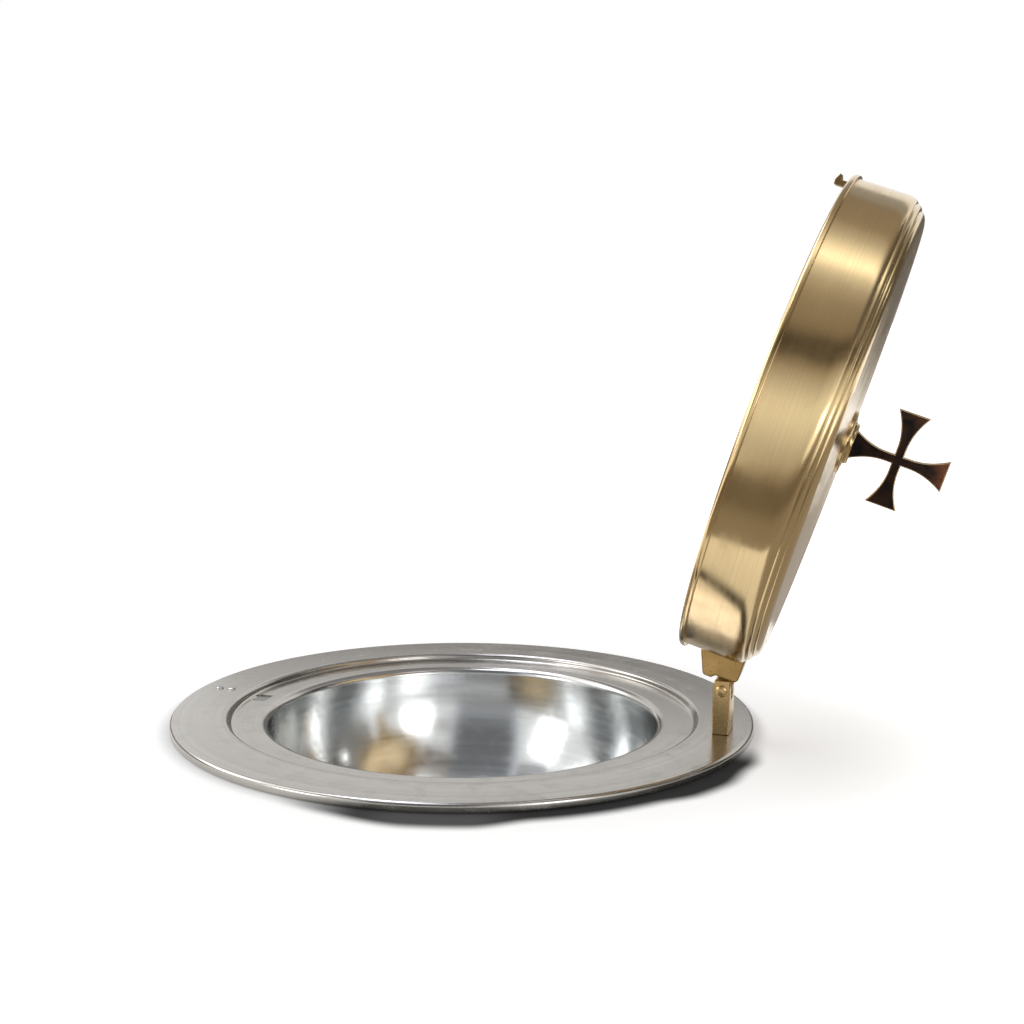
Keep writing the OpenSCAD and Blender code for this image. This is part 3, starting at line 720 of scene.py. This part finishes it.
def make_post(floor):
    half, gap_half, top = 4.25, 3.5, PIVOT_H + 5.3
    side = rounded([(-half, 0, 0), (half, 0, 0), (half, top, 0.7), (-half, top, 2.4)], 7)
    post = moved(plate_bm(side, -POST_HALF, POST_HALF), UPRIGHT)
    gap = [(-gap_half, floor, 1.2), (gap_half, floor, 1.2), (gap_half, 60, 0), (-gap_half, 60, 0)]
    gap = moved(plate_bm(rounded(gap, 5), -THROUGH, THROUGH), FACING_X)
    post = softened(carved(post, [gap]), 0.55, segments=3)
    post = carved(post, [moved(rod_bm(PIN_R + 0.04, -THROUGH, THROUGH), at(0, 0, PIVOT_H) @ UPRIGHT)])
    place = at(HINGE_X, 0, FLANGE_H)
    piece("hinge_fork", post, HINGE_BRASS, "root", "hinge_post", place)


def make_pin():
    end, head_r, tail_r = POST_HALF + WASHER_T, 3.0, 2.7
    pin = [(0, -end), (PIN_R, -end), (PIN_R, POST_HALF), (head_r, POST_HALF), (head_r, POST_HALF + 0.2)]
    pin += arc(0, POST_HALF + 0.2, head_r, 1.0, 8, 90, 7)
    tail = [(0, -end - 0.02), (tail_r, -end - 0.02)]
    tail += [(r, -z) for r, z in arc(0, end + 0.02, tail_r, 1.05, 8, 90, 7)]
    pin = merged([lathe_bm(pin, 48), lathe_bm(tail, 48)])
    place = at(HINGE_X, 0, PIVOT_Z) @ UPRIGHT
    piece("hinge_rod", pin, HINGE_BRASS, "root", "hinge_pin", place)
    ring = [(PIN_R + 0.05, 0), (3.7, 0), (3.8, 0.1), (3.8, 0.7), (3.7, WASHER_T), (PIN_R + 0.05, WASHER_T)]
    place = at(HINGE_X, end, PIVOT_Z) @ UPRIGHT
    piece("rod_washer", lathe_bm(ring, 48), HINGE_BRASS, "root", "pin_washer", place)


def make_lug(floor):
    """The lug on the drum, whose tongue turns in the fork, and the plate that backs it."""
    knee, back, crest, root, eye = HINGE_X - 4.6, HINGE_X - 6.404, DRUM_H + 6.2, 114.6, 4.13
    side = [(root, 6, 0), (120.2, 6, 1.6), (knee, 10.8, 2.0), (knee, floor - 1.8, 0.9), (back, floor, 0.9)]
    side += [(back, crest, 2.4), (root, crest, 0)]
    lug = moved(plate_bm(rounded(side, 6), -POST_HALF, POST_HALF), UPRIGHT)
    lug = softened(lug, 0.8, segments=3)
    end = arc(HINGE_X, PIVOT_H, eye, eye, -90, 90, 24)
    end += [(back - 2, PIVOT_H + eye), (back - 2, PIVOT_H - eye)]
    tongue = softened(moved(plate_bm(end, -3.38, 3.38), UPRIGHT), 0.35)
    lug = carved(lug, [tongue], "UNION")
    bore = moved(rod_bm(PIN_R + 0.05, -THROUGH, THROUGH), at(HINGE_X, 0, PIVOT_H) @ UPRIGHT)
    drum = lathe_bm([(0, -1), (DRUM_R + 0.02, -1), (DRUM_R + 0.02, 40), (0, 40)], 256)
    lug = carved(lug, [bore, drum])
    piece("cover_lug", lug, SHADED_LUG_BRASS, "lid", "hinge_lug", OPENED)

    backing = rectangle(-POST_HALF, POST_HALF, 8.2, 19, 2)
    backing = moved(plate_bm(rounded(backing, 5), DRUM_IN - 3, DRUM_IN + 2), FACING_X)
    backing = softened(backing, 0.4)
    hollow = lathe_bm([(DRUM_IN, 0), (DRUM_IN + 20, 0), (DRUM_IN + 20, 30), (DRUM_IN, 30)], 256)
    backing = carved(backing, [hollow])
    piece("lug_backing", backing, HINGE_BRASS, "lid", "lug_plate", OPENED)


def make_hinge_screws():
    """The lug's screws inside the drum, and the post's screws with their washers below the flange."""
    head, shank, z = (3.4, 2.4), (SCREW_R, 0, 10, 24), UNDER_Z - WASHER_T
    ring = raised([(2.15, 0), (4.1, 0), (4.2, 0.1), (4.2, WASHER_T), (2.15, WASHER_T)], z)
    inner, lower, rings = [], [], []
    for y in HINGE_SCREWS:
        spot = at(DRUM_IN - 3, y, 12.5)
        inner += [moved(slotted_head(*head), spot @ AGAINST_X), moved(rod_bm(*shank), spot @ ALONG_X)]
        spot = at(HINGE_X, y, z)
        lower += [moved(slotted_head(*head), spot @ UPSIDE_DOWN), moved(rod_bm(*shank), spot)]
        rings.append(moved(lathe_bm(ring, 48), at(HINGE_X, y, 0)))
    piece("backing_screws", merged(inner), FIXING, "lid", "lug_screws", OPENED)
    piece("fork_screws", merged(lower), FIXING, "root", "post_screws")
    piece("fork_washers", merged(rings), FIXING, "root", "post_washers")


# The catch


def make_catch():
    place = OPENED @ HALF_TURN
    inner, nose = LATCH_X - 3.0, LATCH_X + 2.5
    side = [(inner, 8, 0.5), (LATCH_X, 8, 0.3), (LATCH_X, -7.8, 0.4), (nose, -8.8, 0.3), (nose, -9.4, 0.3)]
    side += [(LATCH_X - 0.6, -11, 1.0), (inner, -11, 0.8)]
    tongue = softened(moved(plate_bm(rounded(side, 4), -LATCH_HALF, LATCH_HALF), UPRIGHT), 0.3)
    piece("latch", tongue, HINGE_BRASS, "lid", "latch_tongue", place)
    rivets = []
    for y in (-3, 3):
        spot = at(inner, y, 4)
        head = lathe_bm([(0, 0), (2.4, 0)] + arc(0, 0.1, 2.38, 1.0, 0, 90, 8), 32)
        rivets += [moved(rod_bm(1.38, 0, 4.6, 32), spot @ ALONG_X), moved(head, spot @ AGAINST_X)]
    piece("latch_rivets", merged(rivets), HINGE_BRASS, "lid", "tongue_rivets", place)

    bend, bow = RECESS_R + 2.2, LATCH_X + 4.3
    leaf = [(bend, UNDER_Z - 9.5, 0), (bow + 0.8, UNDER_Z - 6.65, 1.6), (bend + 0.8, UNDER_Z - 4.75, 1.6)]
    leaf += [(bend + 0.8, UNDER_Z - LEAF_T, 0.8), (CATCH_X[1] + 4, UNDER_Z - LEAF_T, 0)]
    leaf = plate_bm(sheet(rounded(leaf, 5, closed=False), LEAF_T), -4.5, 4.5)
    leaf = softened(moved(leaf, UPRIGHT), 0.12)
    piece("catch_leaf", leaf, SPRING, "root", "catch_spring", HALF_TURN)
    screws, nuts = [], []
    for x, degrees in zip(CATCH_X, (35, 105)):
        head = slotted_head(2.1, 1.1, 0.5)
        screws.append(moved(head, at(x, 0, FLANGE_H) @ rotation(degrees, "Z")))
        screws.append(moved(rod_bm(1.24, 0.2, FLANGE_H, 24), at(x, 0, 0)))
        nuts.append(moved(nut_bm(5, 1.3, UNDER_Z - 3.0, UNDER_Z - LEAF_T, 48), at(x, 0, 0)))
    piece("leaf_screws", merged(screws), FIXING, "root", "catch_screws", HALF_TURN)
    piece("leaf_nuts", merged(nuts), FIXING, "root", "catch_nuts", HALF_TURN, angle=25.0)


# The cover


def cover_outline():
    """The cover's sheet with the three beads of its stepped crown, and the height of its top."""
    # Each bead has a width and a height. The first two stop short of level, at a crease.
    b1, b2, b3, crease, end = (2.4, 6.6), (2.6, 2.8), (7.0, 3.4), 0.7, 80.0
    flat_r, dome, stud_hole = 16.3, 0.9, 3.3
    c, s = 1 - math.cos(math.radians(end)), math.sin(math.radians(end))
    path = [(DRUM_R, z) for z in (0.0, 3.0, 9.0, 15.0, 20.0)]
    path += arc(DRUM_R - b1[0], DRUM_H, b1[0], b1[1], 0, end, 14)
    x2, z2 = DRUM_R - b1[0] * c - crease, DRUM_H + b1[1] * s
    path += arc(x2 - b2[0], z2, b2[0], b2[1], 0, end, 10)
    x3, z3 = x2 - b2[0] * c - crease, z2 + b2[1] * s
    path += arc(x3 - b3[0], z3, b3[0], b3[1], 0, 90, 14)
    x4, z4 = x3 - b3[0], z3 + b3[1]
    top = z4 + dome
    for i in range(1, 15):
        u = 1 - i / 14
        path.append((flat_r + u * (x4 - flat_r), top - dome * u ** 2))
    path.append((stud_hole, top))
    return sheet(path, SHELL_T), top


COVER, TOP_Z = cover_outline()
COLLAR_H, CROSS_HALF, CROSS_SUNK = 4.2, 23.4, 1.4
FOOT_Z = TOP_Z + COLLAR_H - CROSS_SUNK


def make_cover():
    shell = lathe_bm(COVER, 256)
    shell.faces.ensure_lookup_table()
    # The first half of the outline is the polished outside, and the second half is the plain inside.
    for f in shell.faces[len(shell.faces) // 2:]:
        f.material_index = 1
    piece("cover_shell", shell, [BRASS, INNER_BRASS], "lid", "lid_shell", OPENED, 50.0)
    ring = [(RING_IN, -3.2)] + arc(RING_R - 2.0, -1.2, 2.0, 2.0, -90, 0, 10)
    ring += arc(RING_R - 0.5, -0.5, 0.5, 0.5, 0, 90, 4)
    ring += [(118.3, -0.02), (118.0, -0.5), (117.65, -0.5), (117.6, 0.0), (DRUM_IN, 0.0), (DRUM_IN, 8.0)]
    ring += [(RING_IN + 0.4, 8.0), (RING_IN, 7.6)]
    ring = lathe_bm(distinct(ring), 256)
    piece("cover_rim", ring, RIM_BRASS, "lid", "lid_ring", OPENED, 50.0)


def make_cross():
    make_collar()
    make_plate()
    make_stud()


def make_collar():
    collar = [(0, 0), (15.3, 0), (15.3, 0.9)] + arc(14.6, 1.1, 0.7, 0.7, 0, 90, 5)
    collar += [(14.0, 1.8), (13.7, 1.45), (13.1, 1.45), (12.8, 1.9)] + arc(11.9, 1.4, 0.8, 0.8, 60, 90, 3)
    collar += [(10.9, 2.2), (10.5, 2.4), (10.1, 2.9), (10.0, 3.4)] + arc(9.4, 3.6, 0.6, 0.6, 0, 90, 5)
    collar = lathe_bm(distinct(raised(collar + [(0, COLLAR_H)], TOP_Z)), 128)
    foot = box_bm(-7.85, 7.85, -1.55, 1.55, FOOT_Z, TOP_Z + COLLAR_H + 3)
    collar = carved(collar, [foot])
    piece("cross_collar", collar, RIM_BRASS, "lid", "rosette", OPENED)


def make_plate():
    """The cross, with four arms that flare from the waist to their ends."""
    waist, start, end, half_t = 2.3, 6.0, 7.8, 1.5
    quarter = []
    for i in range(17):
        u = i / 16
        quarter.append((start + u * (CROSS_HALF - start), waist + (end - waist) * u * u))
    arm = [(x, -y) for x, y in quarter] + quarter[::-1]
    outline = []
    for c, s in ((1, 0), (0, 1), (-1, 0), (0, -1)):
        outline += [(x * c - y * s, x * s + y * c) for x, y in arm]
        outline.append((waist * c - waist * s, waist * s + waist * c))
    bm = plate_bm(distinct(outline), -half_t, half_t)

    def at_tip(edge):
        x, y, _ = edge.verts[0].co
        return edge.calc_face_angle(0.0) > 0.9 and max(abs(x), abs(y)) > 0.02

    rims = [e for e in bm.edges if abs(e.verts[0].co.z - e.verts[1].co.z) < 1e-9]
    ends = [e for e in bm.edges if e not in rims and at_tip(e)]
    bevelled(bm, rims + ends, 0.5, 2)
    bmesh.ops.recalc_face_normals(bm, faces=bm.faces)
    for f in bm.faces:
        f.material_index = 0 if abs(f.normal.z) > 0.99 else 1
    bm = moved(bm, at(0, 0, FOOT_Z + CROSS_HALF) @ UPRIGHT)
    piece("top_cross", bm, [CROSS, EDGE_BRASS], "lid", "cross", OPENED)


def make_stud():
    """The stud of the cross, with its washer and nut inside the cover."""
    z = TOP_Z - SHELL_T
    stud = merged([thread_bm(3.0, 0.05, z - 9, z, 1.0, 0.4, 48), rod_bm(2.95, z, TOP_Z + 2.1, 48)])
    piece("cross_bolt", stud, FIXING, "lid", "cross_stud", OPENED)
    z -= 1.4
    ring = lathe_bm(raised([(3.2, 0), (8.7, 0), (9.0, 0.3), (9.0, 1.4), (3.2, 1.4)], z), 64)
    piece("bolt_washer", ring, FIXING, "lid", "stud_washer", OPENED)
    piece("bolt_nut", nut_bm(10, 3.05, z - 5, z, 72), FIXING, "lid", "stud_nut", OPENED, 25.0)


make_basin()
make_drain()
make_hinge()
make_catch()
make_cover()
make_cross()


# Camera


def make_camera():
    """The camera looks at the flange's centre, then turns aside and up to the photograph's frame."""
    centre = Vector((0, 0, FLANGE_H * MM))
    distance, rise, side = 0.8305, math.radians(15.63), math.radians(-72.8)
    spot = centre + distance * Vector(
        (math.cos(rise) * math.cos(side), math.cos(rise) * math.sin(side), math.sin(rise))
    )
    ahead = (centre - spot).normalized()
    right = ahead.cross(Vector((0, 0, 1))).normalized()
    up = right.cross(ahead)
    yaw = Matrix.Rotation(math.radians(-1.76), 3, up)
    ahead, right = yaw @ ahead, yaw @ right
    pitch = Matrix.Rotation(math.radians(7.13), 3, right)
    ahead, up = pitch @ ahead, pitch @ up
    data = bpy.data.cameras.new("camera")
    data.lens = 55.2
    data.sensor_width = 36.0
    data.clip_start, data.clip_end = 0.01, 50.0
    camera = bpy.data.objects.new("camera", data)
    bpy.context.scene.collection.objects.link(camera)
    rows = Matrix((right, up, -ahead)).transposed().to_4x4()
    camera.matrix_world = Matrix.Translation(spot) @ rows
    bpy.context.scene.camera = camera


make_camera()


# Stage and light


def stage_object(name, mesh, material):
    obj = bpy.data.objects.new(name, mesh)
    bpy.context.scene.collection.objects.link(obj)
    mesh.materials.append(material)
    return obj


def make_counter():
    """A pale worktop with a round cut-out for the bowl. Far from the part it fades into the white background,
    and its top has a painted soft contact shadow at the flange's edge."""
    low, hole = -30, 143.5
    outline = [(8000, low), (600, low), (200, low), (hole, low)]
    outline += [(r, 0) for r in (hole, 160, 200, 300, 600, 1500, 8000)]
    bm = lathe_bm(outline, 128, closed=False)
    mesh = bpy.data.meshes.new("counter")
    bm.to_mesh(mesh)
    bm.free()
    pale, shadow_black = (0.84, 0.84, 0.84), (0.01, 0.01, 0.01)
    n = Nodes("counter")
    n.set(Roughness=0.9, Specular_IOR_Level=0.0, Emission_Color=(1, 1, 1))
    angle, radius, z = n.polar()
    path = n.new("ShaderNodeLightPath")
    bounced = n.math("MAXIMUM", path.outputs["Is Glossy Ray"], path.outputs["Is Transmission Ray"])
    seen = n.math("MAXIMUM", path.outputs["Is Camera Ray"], bounced)
    top = n.span(z, -0.002, -0.0005)
    flat = n.math("ADD", top, n.span(z, low * MM, (low + 1) * MM, 1.0, 0.0))
    # Painted shade: the worktop's glow is weaker near the part, and the cut-out's wall gets none.
    lit = n.math("MULTIPLY", n.span(radius, 0.152, 0.34, 0.42, 0.95), flat)
    # The painted shadow is deep and wide all along the front, and wider still in two stretches of it.
    front = n.between(angle, -1.90, -1.55, -0.24, -0.02)
    bulge = n.between(angle, -1.66, -1.42, -1.26, -1.08)
    side = n.between(angle, -0.72, -0.56, -0.45, -0.28)
    wider = n.math("MULTIPLY_ADD", bulge, 0.006, n.math("MULTIPLY", side, 0.004))
    start = n.math("ADD", n.math("MULTIPLY_ADD", front, 0.0055, 0.1505), wider)
    stop = n.math("ADD", n.math("MULTIPLY_ADD", front, 0.0070, 0.1595), wider)
    deep = n.math("MULTIPLY", n.span(radius, start, stop, 1.0, 0.0), top)
    peak = n.math("MULTIPLY_ADD", bulge, -0.05, n.math("MULTIPLY_ADD", front, 0.70, 0.27))
    shade = n.math("MULTIPLY", deep, peak)
    n.set(Base_Color=n.blend(shade, pale, shadow_black))
    glow = n.math("MULTIPLY", n.math("MULTIPLY", seen, lit), n.math("SUBTRACT", 1.0, shade))
    n.set(Emission_Strength=glow)
    stage_object("counter", mesh, n.material)


def dark_body(name):
    """Nodes of a material that reflects nothing."""
    n = Nodes(name)
    n.set(Base_Color=(0, 0, 0), Roughness=1.0, Specular_IOR_Level=0.0)
    return n


def quad(name, corners):
    mesh = bpy.data.meshes.new(name)
    mesh.from_pydata(corners, [], [(0, 1, 2, 3)])
    return mesh


def make_shade_sheet():
    """A black sheet far below the worktop, painted shade for the dark under it, which shows through the
    catch's slot and the drain's grid.
    """
    half, z = 2.5, -1.2
    mesh = quad("shade_sheet", [(-half, -half, z), (half, -half, z), (half, half, z), (-half, half, z)])
    obj = stage_object("shade_sheet", mesh, dark_body("shade_sheet").material)
    obj.visible_diffuse = obj.visible_glossy = obj.visible_shadow = False


def reflected(name, mesh, n):
    """A stage object that only reflections see."""
    obj = stage_object(name, mesh, n.material)
    obj.visible_camera = obj.visible_diffuse = obj.visible_shadow = False
    return obj


def aim(obj, spot, target, axis):
    """Places an object and points its axis at a target."""
    obj.location = spot
    obj.rotation_mode = "QUATERNION"
    obj.rotation_quaternion = (Vector(target) - Vector(spot)).to_track_quat(axis, "Y")


def card(name, spot, target, size, level, tint=(1.0, 1.0, 1.0), side=None):
    """A flat studio card. Towards its left and right edge it can run to another level."""
    w, h = size[0] / 2, size[1] / 2
    n = dark_body(name)
    n.set(Emission_Color=tint, Emission_Strength=level)
    if side:
        n.set(Emission_Strength=n.span(n.math("ABSOLUTE", n.place()[0]), 0.66 * w, w, level, side))
    mesh = quad(name, [(-w, -h, 0), (w, -h, 0), (w, h, 0), (-w, h, 0)])
    aim(reflected(name, mesh, n), spot, target, "Z")


def bands(n, value, stops, tint):
    """The level along a value, through stops. Where it is dim, the emission's colour takes the tint."""
    low, high = stops[0][0], stops[-1][0]
    peak = max(level for _, level in stops)
    ramp = n.new("ShaderNodeValToRGB")
    n.put(ramp.inputs[0], n.math("DIVIDE", n.math("SUBTRACT", value, low), high - low))
    keys = ramp.color_ramp.elements
    while len(keys) > 1:
        keys.remove(keys[-1])
    for i, (spot, level) in enumerate(stops):
        position, share = (spot - low) / (high - low), level / peak
        key = keys[0] if i == 0 else keys.new(position)
        key.position = position
        key.color = (share, share, share, 1.0)
    level = n.math("MULTIPLY", ramp.outputs[0], peak)
    n.set(Emission_Color=n.blend(n.span(level, 0.15, 0.8), tint, (1.0, 1.0, 1.0)))
    return level


def along(table, v):
    """The value at v between the pairs of a table."""
    for (a, p), (b, q) in zip(table, table[1:]):
        if v <= b:
            return p + (q - p) * max(0, v - a) / (b - a)
    return table[-1][1]


def curved_panel(name, centre, radius, x0, edge, stops, fade, dim):
    """A panel curved about the X axis in front of the cover, from x0 to the edge's x at each angle in
    degrees. Above the angle fade[0] it runs to the level dim from x fade[1] to fade[2]."""
    low, high = stops[0][0], stops[-1][0]
    rows = 60
    points = []
    for i in range(rows + 1):
        turn = low + (high - low) * i / rows
        a = math.radians(turn)
        y, z = centre[0] - radius * math.cos(a), centre[1] + radius * math.sin(a)
        points += [(x0, y, z), (along(edge, turn), y, z)]
    mesh = bpy.data.meshes.new(name)
    mesh.from_pydata(points, [], [(2 * i, 2 * i + 1, 2 * i + 3, 2 * i + 2) for i in range(rows)])
    n = dark_body(name)
    x, y, z = n.place()
    turn = n.math("ARCTAN2", n.math("SUBTRACT", z, centre[1]), n.math("SUBTRACT", centre[0], y))
    turn = n.math("MULTIPLY", turn, 180 / math.pi)
    level = bands(n, turn, stops, (1.0, 0.86, 0.72))
    side = n.math("MULTIPLY", n.span(turn, fade[0], fade[0] + 4), n.span(x, fade[1], fade[2]))
    level = n.math("MULTIPLY", level, n.math("SUBTRACT", 1.0, side))
    n.set(Emission_Strength=n.math("ADD", level, n.math("MULTIPLY", side, dim)))
    reflected(name, mesh, n)


def strip(name, corners, axis, stops, tint):
    """A dim four-cornered panel, whose level runs along an axis."""
    n = dark_body(name)
    n.set(Emission_Strength=bands(n, n.place()[axis], stops, tint))
    reflected(name, quad(name, corners), n)


def floor_panel(name, x0, x1, stops):
    """A strip on the worktop, by distance along Y."""
    y0, y1, z = stops[0][0], stops[-1][0], 0.001
    strip(name, [(x0, y0, z), (x1, y0, z), (x1, y1, z), (x0, y1, z)], 1, stops, (1.0, 0.86, 0.70))


def wall(name, start, end, tops, stops):
    """A wall behind or beside the part from start to end (x, y), with its height at either, by height."""
    foot = 0.003
    corners = [(*start, foot), (*end, foot), (*end, tops[1]), (*start, tops[0])]
    strip(name, corners, 2, stops, (1.0, 0.92, 0.82))


def area_light(name, spot, target, size, power):
    data = bpy.data.lights.new(name, "AREA")
    data.shape = "RECTANGLE"
    data.size, data.size_y = size
    data.energy = power
    obj = bpy.data.objects.new(name, data)
    bpy.context.scene.collection.objects.link(obj)
    aim(obj, spot, target, "-Z")


def make_world():
    """A white surround where it is seen or reflected, and a dimmer one where it lights."""
    world = bpy.data.worlds.new("world")
    world.use_nodes = True
    bpy.context.scene.world = world
    tree = world.node_tree
    back = tree.nodes["Background"]
    back.inputs["Color"].default_value = (1, 1, 1, 1)
    path = tree.nodes.new("ShaderNodeLightPath")
    last = path.outputs["Is Camera Ray"]
    for name in ("Is Glossy Ray", "Is Transmission Ray"):
        most = tree.nodes.new("ShaderNodeMath")
        most.operation = "MAXIMUM"
        tree.links.new(last, most.inputs[0])
        tree.links.new(path.outputs[name], most.inputs[1])
        last = most.outputs[0]
    level = tree.nodes.new("ShaderNodeMapRange")
    level.inputs["To Min"].default_value = 0.55
    level.inputs["To Max"].default_value = 1.0
    tree.links.new(last, level.inputs["Value"])
    tree.links.new(level.outputs[0], back.inputs["Strength"])


WINDOW, FLAG = (0.98, 1.0, 1.03), (0.97, 1.0, 1.05)

make_counter()
make_world()
area_light("key", (-0.95, 0.10, 1.0), (0, 0, 0), (1.0, 1.0), 4.5)
card("ceiling", (-0.2, 0.33, 1.45), (-0.2, 0.33, 0), (2.8, 3.46), 0.36, (1.0, 1.0, 1.03))
card("lamp_left", (-0.25, -0.42, 1.42), (-0.25, -0.42, 0), (0.5, 0.4), 3.8, (1.0, 1.03, 1.17))
card("lamp_back", (-0.48, 0.30, 1.42), (-0.48, 0.30, 0), (0.36, 0.9), 4.8, (1.0, 1.04, 1.22))
card("lamp_far", (-0.48, 0.98, 1.42), (-0.48, 0.98, 0), (0.36, 0.46), 1.05)
card("lamp_side", (-1.278, 0.066, 0.794), (0.09, -0.03, -0.03), (0.60, 0.60), 2.8)
card("lamp_low", (1.2, 0.44, 0.46), (-0.08, 0.04, -0.04), (0.12, 0.05), 6.0)
card("flag", (0.045, -1.25, 0.93), (0.02, -0.1, 0.05), (1.40, 1.18), 0.18, FLAG, 0.8)
card("flag_foot", (0.055, -1.709, 0.33), (0.03, -0.559, -0.55), (1.40, 0.33), 0.42, FLAG, 0.9)
card("left_window", (-1.00, -0.98, 0.56), (0.02, 0.09, -0.02), (0.50, 0.60), 4.2, WINDOW)
card("right_window", (0.86, -0.76, 0.29), (-0.05, 0.08, 0.0), (0.50, 0.48), 4.2, WINDOW, 1.6)
curved_panel(
    "cover_panel", (0.0, 0.155), 0.25, 0.128, [(-4, 0.225), (6, 0.27), (9, 0.9)],
    [(-15, 0.2), (-10.5, 0.35), (-6, 0.6), (-2, 0.68), (3, 0.86), (8, 1.03), (13, 1.03), (18, 0.75),
     (24, 0.45), (28, 0.16), (31, 0.09), (34, 0.1), (39, 0.3), (50, 0.4), (57, 0.6), (62, 0.95), (67.5, 2.1),
     (72, 1.4), (79, 0.7), (89, 0.36), (110, 0.3)],
    (24, 0.30, 0.40), 0.15
)
floor_panel(
    "front_strip", -0.25, 0.6,
    [(-0.66, 0.5), (-0.56, 0.3), (-0.48, 0.2), (-0.33, 0.2), (-0.26, 0.33), (-0.197, 0.34)]
)
floor_panel("side_strip", 0.165, 0.95, [(-0.1965, 0.36), (0.0, 0.36), (0.5, 0.40)])
floor_panel("corner_strip", 0.6, 0.95, [(-0.66, 0.5), (-0.40, 0.42), (-0.197, 0.42)])
floor_panel("back_strip", -0.3, 0.25, [(0.24, 0.45), (0.6, 0.42), (1.5, 0.35)])
wall(
    "back_wall", (-0.9, 1.5), (1.6, 1.5), (0.40, 0.455),
    [(0.0, 0.4), (0.1, 0.15), (0.38, 0.13), (0.47, 0.22)]
)
wall("right_wall", (1.25, -0.15), (1.25, 0.43), (1.3, 1.3), [(0.0, 0.4), (0.12, 0.27), (1.3, 0.27)])
wall("far_wall", (1.25, 0.43), (1.25, 1.5), (1.3, 1.3), [(0.0, 0.12), (0.5, 0.1), (1.3, 0.1)])
wall("left_wall", (-1.25, -0.1), (-1.25, 1.5), (0.35, 0.35), [(0.0, 0.4), (0.1, 0.25), (0.35, 0.25)])
make_shade_sheet()

bpy.context.scene.view_settings.view_transform = "Standard"
